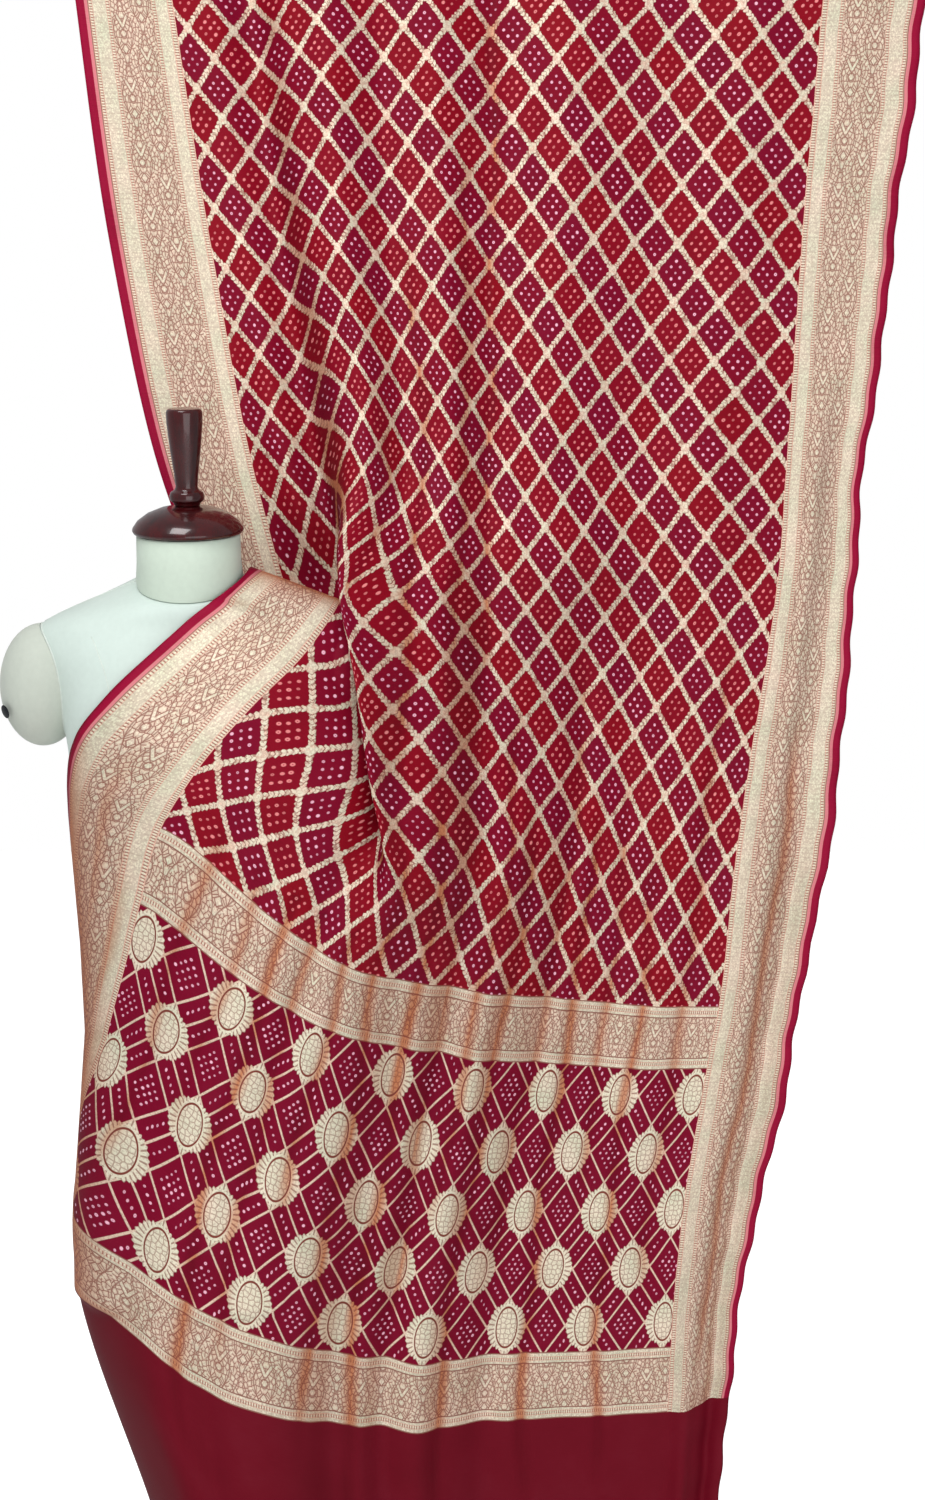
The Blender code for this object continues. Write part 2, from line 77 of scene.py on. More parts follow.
NECK_TILT = math.radians(10.0)
ARM_CENTRE = Vector((0.166, 0.0, 1.293))
ARM_RADII = Vector((0.047, 0.054, 0.069))
ARM_GAP = 0.0012
BOLT_RADIUS = 0.0105
BOLT_LENGTH = 0.006
BOLT_CLEAR = 0.0020
BOLT_PLACE = Vector((-0.66, -0.64, -0.39)).normalized()   # on a stump of unit radii
BASE_HEIGHT = 0.030
POLE_RADIUS = 0.0150
COLLAR_RADIUS = 0.026
COLLAR_HEIGHT = 0.050
TOUCH_GAP = 0.0004
EDGE_ROUNDING = 0.0009    # of the edges of turned pieces
BOLT_ROUNDING = 0.0005
BODY_SIDES = 48
STUMP_SIDES = 64
COVER_ANGLE = 50          # edges sharper than this, in degrees, stay sharp on the cover,
HARD_ANGLE = 40           # and on wood, steel and the cut stumps
SIDES = ((-1.0, "right"), (1.0, "left"))     # the form's own right and left
ARMHOLE_STEPS = 72
TAPE_SINK = 0.1           # a tape's middle stands this share of its radius off the cover
THIN_TAPE = 0.55          # share of the armhole tape's thickness
MERGE_GAP = 0.00002
PRINCESS_BOW = 0.052      # the princess lines draw in this far at the waist

# --- The stage: place, aim and side of each light ---
KEY_LIGHT = ((-0.6, -1.9, 4.1), (0.2, 0.0, 1.2), 1.6)
FILL_LIGHT = ((1.3, -3.2, 1.1), (0.3, 0.0, 0.8), 2.6)
FLOOR_MIDDLE = (0.3, 1.0, 0.0)
SENSOR_WIDTH = 36.0       # in millimetres
VIEW_DEPTH = 50.0

# --- Outlines ---
# Sections of the padded body, from the hip up to the neck seam.
# Columns: z, half width, half depth, middle y, rise per metre towards the back.
FORM_SECTIONS = (
    (0.600, 0.1290, 0.0940, 0.004, 0.0),
    (0.612, 0.1345, 0.0990, 0.004, 0.0),
    (0.680, 0.1365, 0.1020, 0.005, 0.0),
    (0.780, 0.1280, 0.0950, 0.004, 0.0),
    (0.900, 0.1180, 0.0860, 0.000, 0.0),
    (1.000, 0.1205, 0.0900, -0.005, 0.0),
    (1.100, 0.1270, 0.0990, -0.010, 0.0),
    (1.180, 0.1320, 0.1070, -0.012, 0.0),
    (1.235, 0.1370, 0.1040, -0.006, 0.0),
    (1.285, 0.1530, 0.0930, 0.000, 0.0),
    (1.325, 0.1760, 0.0810, 0.002, 0.0),
    (1.350, 0.1835, 0.0690, 0.002, 0.0),
    (1.366, 0.1620, 0.0650, 0.001, 0.08),
    (1.381, 0.1290, 0.0640, 0.000, 0.16),
    (1.394, 0.0960, 0.0625, 0.000, 0.26),
    (1.403, 0.0720, 0.0610, 0.000, 0.35),
    (1.4075, 0.0600, 0.0600, 0.000, 0.40),
)
# The same for the neck, from its seam up to the cap.
NECK_SECTIONS = (
    (1.4080, 0.0585, 0.0585, 0.000, 0.40),
    (1.4125, 0.0595, 0.0595, 0.000, 0.38),
    (1.4320, 0.0580, 0.0580, -0.003, 0.28),
    (1.4600, 0.0575, 0.0572, -0.0069, 0.176),
    (1.4619, 0.0560, 0.0557, -0.0073, 0.176),
)

# Turned outlines, from the top down: radius, height.
CAP_PROFILE = (
    (0.0, 0.0300), (0.0160, 0.0300), (0.0300, 0.0275), (0.0450, 0.0215), (0.0560, 0.0135),
    (0.0610, 0.0065), (0.0620, 0.0035), (0.0600, 0.0), (0.0, 0.0),
)
HANDLE_PROFILE = (
    (0.0, 0.1065), (0.0165, 0.1065), (0.0190, 0.1050), (0.0200, 0.1020), (0.0198, 0.0900),
    (0.0170, 0.0620), (0.0135, 0.0350), (0.0122, 0.0205), (0.0135, 0.0175), (0.0178, 0.0150),
    (0.0194, 0.0110), (0.0190, 0.0060), (0.0150, 0.0030), (0.0140, 0.0), (0.0, 0.0),
)
BASE_PROFILE = (
    (0.0, 0.0300), (0.030, 0.0300), (0.038, 0.0265), (0.060, 0.0235), (0.150, 0.0185),
    (0.178, 0.0155), (0.187, 0.0115), (0.190, 0.0060), (0.188, 0.0), (0.0, 0.0),
)
COLLAR_PROFILE = (
    (0.0, COLLAR_HEIGHT), (COLLAR_RADIUS + 0.012, COLLAR_HEIGHT),
    (COLLAR_RADIUS + 0.012, COLLAR_HEIGHT - 0.008), (COLLAR_RADIUS, COLLAR_HEIGHT - 0.014),
    (COLLAR_RADIUS, 0.003), (COLLAR_RADIUS - 0.003, 0.0), (0.0, 0.0),
)

# The saree's lengthwise lines.  Each has a place for every cross section, from
# the hem up: hem; lower band's bottom and top; middle of the end panel; upper
# band's bottom and top; foot of the pleat; low chest; high chest; shoulder ridge;
# dip behind the shoulder; above the shoulder; well above; hung edge.
SECTIONS = 14
LOW_ALONG = (0.000, 0.280, 0.367, 0.552, 0.737, 0.820)
RIGHT_ALONG = (1.010, 1.120, 1.235, 1.310, 1.355, 1.435, 1.725)


def lengthwise(across, along, *places):
    """Rows of across, along, x, y, z, from the places in space: x, y, z.

    along is given from the foot of the pleat to the row below the hung edge."""
    if isinstance(across, float):
        across = (across,) * SECTIONS
    return np.column_stack((across, LOW_ALONG + along + (SAREE_LENGTH,), places))


LEFT_SELVEDGE = lengthwise(
    0.0, (0.868, 0.930, 1.030, 1.135, 1.285, 1.430, 1.725),
    (0.040, 0.100, 0.335), (-0.058, 0.112, 0.610), (-0.070, 0.115, 0.700),
    (-0.108, 0.062, 0.895), (-0.131, 0.000, 1.082), (-0.128, -0.038, 1.165),
    (-0.127, -0.055, 1.213), (-0.083, -0.082, 1.279), (0.006, -0.068, 1.366),
    (0.068, 0.008, 1.424), (0.020, 0.112, 1.368), (-0.040, 0.110, 1.510),
    (-0.108, 0.145, 1.800), (-0.155, 0.160, TOP_HEIGHT))
LEFT_BORDER = lengthwise(
    BORDER_WIDTH, (0.905, 0.990, 1.070, 1.150, 1.290, 1.430, 1.725),
    (-0.060, 0.030, 0.335), (-0.142, 0.020, 0.612), (-0.144, 0.018, 0.700),
    (-0.090, -0.055, 0.885), (-0.042, -0.100, 1.060), (-0.016, -0.112, 1.146),
    (0.020, -0.120, 1.205), (0.076, -0.102, 1.271), (0.131, -0.070, 1.327),
    (0.168, -0.012, 1.385), (0.112, 0.132, 1.362), (0.066, 0.135, 1.510),
    (0.008, 0.170, 1.800), (-0.046, 0.185, TOP_HEIGHT))
# Where the chest cloth goes under the pleat.
PLEAT_UNDER = lengthwise(
    (0.266,) * 6 + (0.315, 0.280, 0.203, 0.152, 0.175, 0.190, 0.190, 0.190),
    (0.930, 1.010, 1.080, 1.152, 1.295, 1.430, 1.725),
    (0.004, -0.060, 0.290), (-0.046, -0.100, 0.567), (-0.036, -0.106, 0.645),
    (0.007, -0.104, 0.817), (0.066, -0.110, 0.976), (0.095, -0.108, 1.050),
    (0.164, -0.088, 1.116), (0.202, -0.058, 1.193), (0.186, -0.050, 1.292),
    (0.177, -0.016, 1.380), (0.148, 0.132, 1.365), (0.108, 0.118, 1.510),
    (0.052, 0.166, 1.800), (0.003, 0.195, TOP_HEIGHT))
# The pleat's hidden inner bend.
PLEAT_BEND = lengthwise(
    (0.340,) * 6 + (0.365, 0.335, 0.285, 0.250, 0.240, 0.235, 0.235, 0.235),
    (0.922, 1.020, 1.110, 1.190, 1.310, 1.432, 1.725),
    (0.050, -0.072, 0.232), (0.018, -0.098, 0.512), (0.028, -0.104, 0.600),
    (0.068, -0.098, 0.775), (0.120, -0.094, 0.937), (0.142, -0.092, 1.011),
    (0.202, -0.068, 1.096), (0.232, -0.020, 1.190), (0.229, -0.010, 1.303),
    (0.212, 0.002, 1.382), (0.184, 0.092, 1.398), (0.142, 0.118, 1.512),
    (0.090, 0.168, 1.800), (0.045, 0.205, TOP_HEIGHT))
# The pleat's edge that lies on top.
PLEAT_EDGE = lengthwise(
    (0.420,) * 6 + (0.415, 0.400, 0.375, 0.358, 0.335, 0.300, 0.290, 0.285),
    (0.920, 1.045, 1.170, 1.262, 1.313, 1.405, 1.713),
    (0.108, -0.066, 0.198), (0.088, -0.080, 0.478), (0.096, -0.084, 0.566),
    (0.134, -0.070, 0.728), (0.174, -0.064, 0.905), (0.190, -0.066, 0.980),
    (0.222, -0.088, 1.080), (0.204, -0.094, 1.195), (0.187, -0.082, 1.310),
    (0.170, -0.048, 1.392), (0.168, -0.012, 1.436), (0.177, 0.048, 1.520),
    (0.134, 0.130, 1.803), (0.091, 0.186, TOP_HEIGHT))
RIGHT_BORDER = lengthwise(
    INNER_LINE, RIGHT_ALONG,
    (0.548, 0.165, 0.100), (0.560, 0.168, 0.378), (0.563, 0.170, 0.461),
    (0.578, 0.176, 0.634), (0.606, 0.185, 0.808), (0.621, 0.190, 0.885),
    (0.642, 0.200, 1.080), (0.659, 0.205, 1.195), (0.677, 0.210, 1.310),
    (0.687, 0.213, 1.385), (0.692, 0.215, 1.430), (0.698, 0.220, 1.510),
    (0.714, 0.222, 1.800), (0.740, 0.222, TOP_HEIGHT))
RIGHT_SELVEDGE = lengthwise(
    SAREE_WIDTH, RIGHT_ALONG,
    (0.606, 0.180, 0.112), (0.640, 0.182, 0.390), (0.644, 0.183, 0.470),
    (0.676, 0.186, 0.640), (0.711, 0.194, 0.812), (0.724, 0.200, 0.887),
    (0.757, 0.208, 1.080), (0.772, 0.212, 1.195), (0.780, 0.216, 1.310),
    (0.784, 0.220, 1.385), (0.788, 0.222, 1.430), (0.794, 0.225, 1.510),
    (0.827, 0.226, 1.800), (0.866, 0.226, TOP_HEIGHT))
LINE_TIMING = 0.75             # evens out a line's speed between rows that lie far apart
CENTRE_LINES = 5               # extra lines between the pleat's edge and the right border
EASE_HIGH = 1.9                # how quickly the cloth falls back behind the form,
EASE_LOW = 3.4                 # above the end panel and at its foot
BACK_POWER = (2.0, 2.0, 2.0, 2.0, 1.9, 1.8, 2.0, 2.6, 2.6, 2.0, 1.5, 1.2, 1.2,
              1.2)             # the same in depth, a value for each section
SWELL_REACH = 0.14
EDGE_FULLNESS = (0.0, 0.0, 0.0, 0.0, 0.0, 0.010, 0.030, 0.050, 0.052, 0.036, 0.020, 0.0,
                 0.0, 0.0)     # forward swell beside the pleat, a value for each section
CENTRE_PULL = (0.0, 0.0, 0.0, 0.0, 0.0, 0.0, 0.0, 0.004, 0.0, -0.004, -0.016, -0.040,
               -0.022, -0.006)  # sideways pull on the centre, a value for each section

# Soft folds: a trough (negative rise) or ridge that runs from one place across
# the saree at its upper end to another at its lower end.
# Columns: across at the upper end, across at the lower end, along at the upper
# end, along at the lower end, width, rise.
FOLDS = (
    (0.235, 0.235, 2.30, 1.20, 0.050, -0.014),
    (0.340, 0.330, 2.20, 1.30, 0.044, 0.014),
    (0.405, 0.400, 2.10, 1.30, 0.034, -0.011),
    (0.470, 0.500, 2.30, 0.66, 0.040, 0.012),
    (0.550, 0.545, 2.30, 0.86, 0.040, -0.014),
    (0.660, 0.650, 2.30, 1.20, 0.070, 0.010),
    (0.790, 0.745, 2.30, 0.30, 0.075, -0.009),
    (0.880, 0.860, 2.30, -0.20, 0.060, 0.007),
    (0.445, 0.440, 1.20, 0.84, 0.030, -0.010),
    (0.600, 0.612, 1.10, -0.20, 0.038, 0.013),
    (0.552, 0.560, 0.90, -0.20, 0.030, -0.012),
    (0.690, 0.700, 1.30, -0.20, 0.042, -0.012),
    (0.480, 0.500, 0.95, -0.20, 0.034, -0.012),
    (0.330, 0.345, 1.00, 0.05, 0.034, -0.007),
    (1.010, 0.990, 1.60, -0.20, 0.034, 0.010),
    (1.055, 1.060, 1.10, -0.20, 0.030, -0.012),
)

# Narrow creases that run down the cloth, in the same columns as the folds.
CREASES = (
    (0.190, 0.196, 0.98, 0.40, 0.0110, -0.0032),
    (0.245, 0.250, 0.96, 0.52, 0.0100, -0.0030),
    (0.292, 0.310, 0.97, 0.16, 0.0130, -0.0042),
    (0.332, 0.352, 0.94, 0.30, 0.0110, -0.0036),
    (0.398, 0.392, 1.02, 0.46, 0.0120, -0.0038),
    (0.440, 0.462, 1.04, 0.22, 0.0120, -0.0044),
    (0.492, 0.520, 1.10, 0.10, 0.0130, -0.0050),
    (0.534, 0.560, 1.00, 0.34, 0.0100, -0.0036),
    (0.600, 0.584, 1.18, 0.52, 0.0120, -0.0038),
    (0.632, 0.634, 1.06, 0.12, 0.0120, -0.0046),
    (0.700, 0.684, 1.24, 0.44, 0.0110, -0.0034),
    (0.727, 0.758, 1.08, 0.14, 0.0130, -0.0046),
    (0.776, 0.800, 1.12, 0.52, 0.0110, -0.0034),
    (0.832, 0.862, 1.02, 0.16, 0.0120, -0.0042),
    (0.905, 0.912, 1.30, 0.40, 0.0140, -0.0030),
    (0.430, 0.452, 1.74, 1.02, 0.0120, -0.0040),
    (0.372, 0.386, 1.56, 1.00, 0.0110, -0.0034),
    (0.520, 0.506, 1.88, 1.12, 0.0120, -0.0034),
    (0.556, 0.548, 2.20, 1.14, 0.0110, -0.0040),
    (0.300, 0.322, 1.40, 0.98, 0.0100, -0.0030),
    (0.075, 0.082, 0.92, 0.34, 0.0130, -0.0026),
    (0.110, 0.104, 0.80, 0.10, 0.0120, -0.0028),
    (1.032, 1.022, 1.18, 0.30, 0.0130, -0.0034),
)
SELVEDGE_WAVES = (           # wave length along, start, rise at the right selvedge
    (0.310, 0.4, 0.0016),
    (0.173, 1.9, 0.0013),
    (0.061, 0.7, 0.0010),
)
CRUMPLES = ((9.0, 0.0017), (24.0, 0.0008))   # waves per metre, rise
CRUMPLE_LENGTH = 0.55        # waves along, for each wave across
WAVE_START = 0.90            # the loose selvedge waves from this far across
TUCK_COLUMNS = (1.0, 4.2)    # columns and lengths of the part tucked under the pleat,
TUCK_ALONG = (0.86, 1.34)    # which has no creases of its own
CREASE_SWAY = 0.004          # how far a crease sways to the sides
SWAY_RATES = (23.0, 40.0)    # radians for each metre along, and across
DEEP_CREASE = 0.0040         # a crease this deep gets the full painted shade: copper on the gold
FOLD_SHARPNESS = 2.5
FOLD_FADE = 0.12             # folds and creases rise over this length at their ends
CREASE_FADE = 0.10
FINE_ACROSS = (21, 20, 12, 12, 13, 13, 13, 13, 13, 13, 22)
FINE_ALONG = (36, 12, 25, 25, 12, 15, 16, 16, 16, 20, 16, 37, 44)

FIELD, PANEL, BAND, BORDER, PLAIN_END = range(5)     # the cloth's stretches

# Border stripes from the selvedge inwards: kind, width.
BORDER_STRIPES = (
    ("selvedge", 0.0118), ("pink", 0.0045), ("line", 0.0014), ("beads", 0.0058),
    ("zari", 0.0190), ("beads", 0.0058), ("brocade", 0.0600), ("beads", 0.0058),
    ("zari", 0.0160), ("beads", 0.0079),
)
# Band stripes from either long edge to the middle.
BAND_STRIPES = (
    ("line", 0.0014), ("zari", 0.0042), ("beads", 0.0050), ("zari", 0.0030), ("line", 0.0014),
    ("brocade", 0.0300),
)
RIB_PITCH = 0.0058           # between the ribs of a zari stripe
TRELLIS_START = BORDER_WIDTH + 0.0145      # middle of the first cell, across
MOTIF_START = LOWER_BAND[1] + 0.034        # middle of the first medallion, along
TRELLIS_SQUARE = 0.0442      # across one trellis cell, square to a vine
NET_SQUARE = 0.0908          # across one cell of the end panel's net
DIAMOND_STEP = 0.2           # between the tied dots of a diamond, in cells
VINE_BEADS = 8.0             # beads of the vine in a cell
BEAD_LEAN = 130.0            # their lean, for each metre off the vine's middle
PANEL_STEP = 0.080           # between the tied dots of the end panel, in cells
RUFFLES = 30.0               # frills round a medallion
END_DOTS_ACROSS = 0.150      # the short row of dots in the plain end
END_DOTS_TOP = 0.20
END_DOT_STEP = 0.012
END_DOT_RADIUS = 0.0013
COTTON_THREAD = 0.0011       # between the threads of the form's cover


def smooth(rows, place):
    """Point at a fractional row number on the smooth curve through the rows.

    The last three columns are x, y, z; the curve is timed by the distance
    between neighbouring points, so unevenly spaced rows make no loops."""
    last = len(rows) - 1
    first = min(int(place), last - 1)
    part = place - first
    gaps = np.linalg.norm(np.diff(rows[:, -3:], axis=0), axis=1) ** LINE_TIMING + 1e-6
    slopes = np.diff(rows, axis=0) / gaps[:, None]

    def tangent(i):
        if i == 0:
            return slopes[0]
        if i == last:
            return slopes[-1]
        before, after = gaps[i - 1], gaps[i]
        return (slopes[i - 1] * after + slopes[i] * before) / (before + after)

    gap = gaps[first]
    s2, s3 = part * part, part ** 3
    return (rows[first] * (2 * s3 - 3 * s2 + 1) + rows[first + 1] * (3 * s2 - 2 * s3)
            + tangent(first) * gap * (s3 - 2 * s2 + part) + tangent(first + 1) * gap * (s3 - s2))


def form_section(height):
    """Half width, half depth and middle y of the padded body at a height."""
    table = np.array(FORM_SECTIONS)
    below = max(0.0, FORM_BOTTOM - height) * DRAW_IN
    level = max(height, FORM_BOTTOM + HEM_ROUND)
    width, depth, middle = (float(np.interp(level, table[:, 0], table[:, k])) for k in (1, 2, 3))
    return width - below, depth - below, middle


def shoulder_level(y, z):
    """Height of the section that passes through a place, as the upper ones slope."""
    table = np.array(FORM_SECTIONS)
    level = z
    for step in range(4):
        level = z - y * float(np.interp(level, table[:, 0], table[:, 4]))
    return level


def clear_of_form(point, gap):
    """Move a point of the cloth out to a gap from the body and the arm stump."""
    x, y, z = point
    level = shoulder_level(y, z)
    if FORM_BOTTOM - UNDER_FORM < level < SHOULDER_TOP:
        half_width, half_depth, middle_y = form_section(level)
        reach = math.hypot(x / (half_width + gap), (y - middle_y) / (half_depth + gap))
        if BODY_CORE < reach < 1.0:
            x = x / reach
            y = middle_y + (y - middle_y) / reach
    radii = ARM_RADII + Vector((gap, gap, gap))
    offset = Vector((x, y, z)) - ARM_CENTRE
    reach = Vector([offset[k] / radii[k] for k in range(3)]).length
    if ARM_CORE < reach < 1.0:
        x, y, z = ARM_CENTRE + offset / reach
    return x, y, z


def fold_rise(table, across, along, ramp, sway=0.0):
    """Height of a table's folds at a place on the flat saree."""
    total = 0.0
    for high, low, top, bottom, width, rise in table:
        if bottom < along < top:
            part = (along - bottom) / (top - bottom)
            swing = math.sin(along * SWAY_RATES[0] + high * SWAY_RATES[1])
            centre = low + (high - low) * part + sway * swing
            fade = min(1.0, (along - bottom) / ramp, (top - along) / ramp)
            total += rise * fade * math.exp(-((across - centre) / width) ** 2 * FOLD_SHARPNESS)
    return total


def cloth_lines():
    """All lengthwise lines, with the centre lines worked out between two of them."""
    edge, border = PLEAT_EDGE, RIGHT_BORDER
    low = np.clip((edge[:, 1] - LOWER_BAND[1]) / (UPPER_BAND[1] - LOWER_BAND[1]), 0.0, 1.0)
    power = EASE_LOW + (EASE_HIGH - EASE_LOW) * low
    centre = []
    for k in range(1, CENTRE_LINES + 1):
        even = k / (CENTRE_LINES + 1)
        eased = 1.0 - (1.0 - even) ** power
        eased_back = 1.0 - (1.0 - even) ** np.array(BACK_POWER)
        level = np.full_like(eased, even)
        line = edge + (border - edge) * np.stack((level, eased, level, eased_back, eased), axis=1)
        line[:, 2] += np.array(CENTRE_PULL) * 4.0 * even * (1.0 - even)
        line[:, 3] -= np.array(EDGE_FULLNESS) * math.exp(-even / SWELL_REACH)
        centre.append(line)
    return [LEFT_SELVEDGE, LEFT_BORDER, PLEAT_UNDER, PLEAT_BEND, edge, *centre, border,
            RIGHT_SELVEDGE]


def fractions(cells):
    """Fractional row numbers of every mesh line, for cell counts between rows."""
    places = [0.0]
    for row, count in enumerate(cells):
        places += [row + (k + 1) / count for k in range(count)]
    return places


def dye(red, green, blue):
    """Linear colour of a shade given as 0 to 255."""
    return tuple(((part / 255 + 0.055) / 1.055) ** 2.4 for part in (red, green, blue))


def shade(label, text, *colour):
    return FloatVectorProperty(name=label, description=text, subtype="COLOR", size=3,
                               min=0.0, max=1.0, default=dye(*colour))


def length(label, text, size):
    return FloatProperty(name=label, description=text, default=size, min=0.0, unit="LENGTH")


# --- Settings ---
class SareeSizes(bpy.types.PropertyGroup):
    """Sizes of the cloth's pattern, measured on the flat cloth."""

    thickness: length("Thickness", "Thickness of the cloth", 0.0011)
    trellis_across: length("Trellis across", "Width of one trellis cell", 0.0568)
    trellis_along: length("Trellis along", "Height of one trellis cell", 0.0705)
    vine: length("Vine", "Half width of the woven vine", 0.0032)
    dot: length("Dot", "Radius of a tied dot in the trellis", 0.0017)
    panel_dot: length("Panel dot", "Radius of a tied dot in the end panel", 0.0015)
    panel_line: length("Panel line", "Half width of a line in the end panel", 0.0012)
    motif_across: length("Motif across", "Half width of a medallion", 0.0272)
    motif_along: length("Motif along", "Half height of a medallion", 0.0385)
    motif_rows: length("Motif rows", "Distance between rows of medallions", 0.0755)
    brocade_across: length("Brocade across", "Repeat of the brocade across", 0.0285)
    brocade_along: length("Brocade along", "Repeat of the brocade along", 0.0745)
    bead_pitch: length("Bead pitch", "Distance between beads in a beaded line", 0.0032)
    thread: length("Thread", "Distance between the threads of the weave", 0.0009)


class SareeColours(bpy.types.PropertyGroup):
    """Dyes and threads; the copper is painted shade on the gold."""

    maroon: shade("Maroon", "Purple-maroon ground", 120, 0, 38)
    red: shade("Red", "Brighter red ground", 134, 2, 24)
    end: shade("Plain end", "Ground of the plain end", 106, 8, 28)
    selvedge: shade("Selvedge", "Crimson selvedge", 146, 10, 50)
    stripe: shade("Stripe", "Pink stripe beside the selvedge", 212, 124, 130)
    pale_dot: shade("Pale dot", "Tied dots on maroon", 244, 184, 204)
    red_dot: shade("Red dot", "Tied dots on red", 234, 138, 138)
    cream: shade("Cream zari", "Woven gold facing the light", 240, 224, 202)
    green: shade("Green zari", "Cooler woven gold", 216, 217, 190)
    pink: shade("Pink zari", "Gold where the ground shows through", 226, 172, 152)
    # Copper: painted shade on the gold, in creases and where the cloth turns edge-on to the view.
    copper: shade("Copper zari", "Gold in the folds", 196, 126, 88)
    shadow: shade("Shadow", "Ground between gold threads", 126, 62, 52)


class FormLooks(bpy.types.PropertyGroup):
    """Dress form, its stand and its hardware."""

    cover: shade("Cover", "Pale cotton cover", 207, 221, 213)
    # The neck and arm colours are darker copies of the cover's cotton: painted shade.
    neck: shade("Neck cover", "Cotton of the neck, more handled", 204, 218, 202)
    arm: shade("Arm cover", "Cotton of the arm stumps, older", 200, 206, 194)
    piping: shade("Piping", "Seam tape", 226, 234, 226)
    # The seam colour is the dark tone of the cotton's marks and of the painted shade in its weave.
    seam: shade("Seam", "Thread line beside the tape", 108, 118, 108)
    wood: shade("Wood", "Dark polished wood", 66, 8, 12)
    grain: shade("Grain", "Darker grain in the wood", 20, 3, 4)
    steel: shade("Steel", "Bright steel", 190, 190, 192)
    black: shade("Blackened steel", "Bolt head", 22, 26, 34)
    sides: IntProperty(name="Sides", description="Sides of a turned piece", default=96, min=24)
    piping_radius: length("Piping radius", "Half thickness of the seam tape", 0.0010)


class StageSetup(bpy.types.PropertyGroup):
    """Floor, lights and camera."""

    floor: shade("Floor", "Plain pale floor", 246, 246, 246)
    floor_size: length("Floor size", "Side of the floor", 14.0)
    camera_place: FloatVectorProperty(name="Camera", description="Place of the camera",
                                      subtype="TRANSLATION", default=(0.305, -2.30, 1.42))
    camera_dip: FloatProperty(name="Camera dip", description="Downward look", subtype="ANGLE",
                              default=math.radians(5.0))
    camera_lens: FloatProperty(name="Lens", description="Focal length in millimetres",
                               default=49.2, min=10.0)
    key_power: FloatProperty(name="Key light", description="Power of the key light, in watts",
                             default=80.0, min=0.0)
    fill_power: FloatProperty(name="Fill light", description="Power of the fill light, in watts",
                              default=44.0, min=0.0)
    room: FloatProperty(name="Room light", description="Strength of the light all round",
                        default=0.44, min=0.0)


# --- Numbers and colours that change over a surface ---
class Measure:
    """A number or colour that changes over a surface: the output of a shader node."""

    def __init__(self, tree, socket):
        self.tree = tree
        self.socket = socket

    def __add__(self, other):
        return sum_up(self.tree, "ADD", self, other)

    def __sub__(self, other):
        return sum_up(self.tree, "SUBTRACT", self, other)

    def __rsub__(self, other):
        return sum_up(self.tree, "SUBTRACT", other, self)

    def __mul__(self, other):
        return sum_up(self.tree, "MULTIPLY", self, other)

    def __truediv__(self, other):
        return sum_up(self.tree, "DIVIDE", self, other)

    def __pow__(self, other):
        return sum_up(self.tree, "POWER", self, other)

    def __abs__(self):
        return sum_up(self.tree, "ABSOLUTE", self)

    __radd__ = __add__
    __rmul__ = __mul__

    def part(self):
        """What is left over the whole number below."""
        return self - sum_up(self.tree, "FLOOR", self)

    def held(self):
        """The number kept between 0 and 1."""
        return sum_up(self.tree, "MULTIPLY", self, 1.0, clamp=True)

    def nearest(self):
        return sum_up(self.tree, "ROUND", self)

    def least(self, other):
        return sum_up(self.tree, "MINIMUM", self, other)

    def most(self, other):
        return sum_up(self.tree, "MAXIMUM", self, other)

    def wave(self):
        return sum_up(self.tree, "COSINE", self)

    def under(self, limit, soft):
        """1 where the number is below a limit, 0 above it, with a soft edge."""
        return sum_up(self.tree, "MULTIPLY_ADD", self, -1.0 / soft, limit / soft + 0.5, clamp=True)

    def over(self, limit, soft):
        return sum_up(self.tree, "MULTIPLY_ADD", self, 1.0 / soft, 0.5 - limit / soft, clamp=True)


def feed(tree, value, socket):
    """Give a node's input a changing measure, a number or a colour."""
    if isinstance(value, Measure):
        tree.links.new(value.socket, socket)
    elif socket.type == "RGBA":
        socket.default_value = (*tuple(value)[:3], 1.0)
    else:
        socket.default_value = value


def sum_up(tree, operation, *values, clamp=False):
    node = tree.nodes.new("ShaderNodeMath")
    node.operation = operation
    node.use_clamp = clamp
    for place, value in enumerate(values):
        feed(tree, value, node.inputs[place])
    return Measure(tree, node.outputs[0])


def distance(across, along):
    return sum_up(across.tree, "SQRT", across * across + along * along)


def tint(amount, below, above):
    """One colour turning into another by an amount from 0 to 1."""
    node = amount.tree.nodes.new("ShaderNodeMix")
    node.data_type = "RGBA"
    feed(amount.tree, amount, node.inputs[0])
    feed(amount.tree, below, node.inputs[6])
    feed(amount.tree, above, node.inputs[7])
    return Measure(amount.tree, node.outputs[2])


def place_of(tree, x, y, z=0.0):
    node = tree.nodes.new("ShaderNodeCombineXYZ")
    for socket, value in zip(node.inputs, (x, y, z)):
        feed(tree, value, socket)
    return Measure(tree, node.outputs[0])


def cloudy(tree, place, scale, detail):
    """Soft uneven noise, about 0 to 1."""
    node = tree.nodes.new("ShaderNodeTexNoise")
    node.inputs["Scale"].default_value = scale
    node.inputs["Detail"].default_value = detail
    feed(tree, place, node.inputs["Vector"])
    return Measure(tree, node.outputs["Fac"])


def grains(tree, place, scale):
    """Distance to the middle of the nearest small grain, and a number for the grain."""
    node = tree.nodes.new("ShaderNodeTexVoronoi")
    node.inputs["Scale"].default_value = scale
    feed(tree, place, node.inputs["Vector"])
    split = tree.nodes.new("ShaderNodeSeparateColor")
    tree.links.new(node.outputs["Color"], split.inputs[0])
    return Measure(tree, node.outputs["Distance"]), Measure(tree, split.outputs[0])


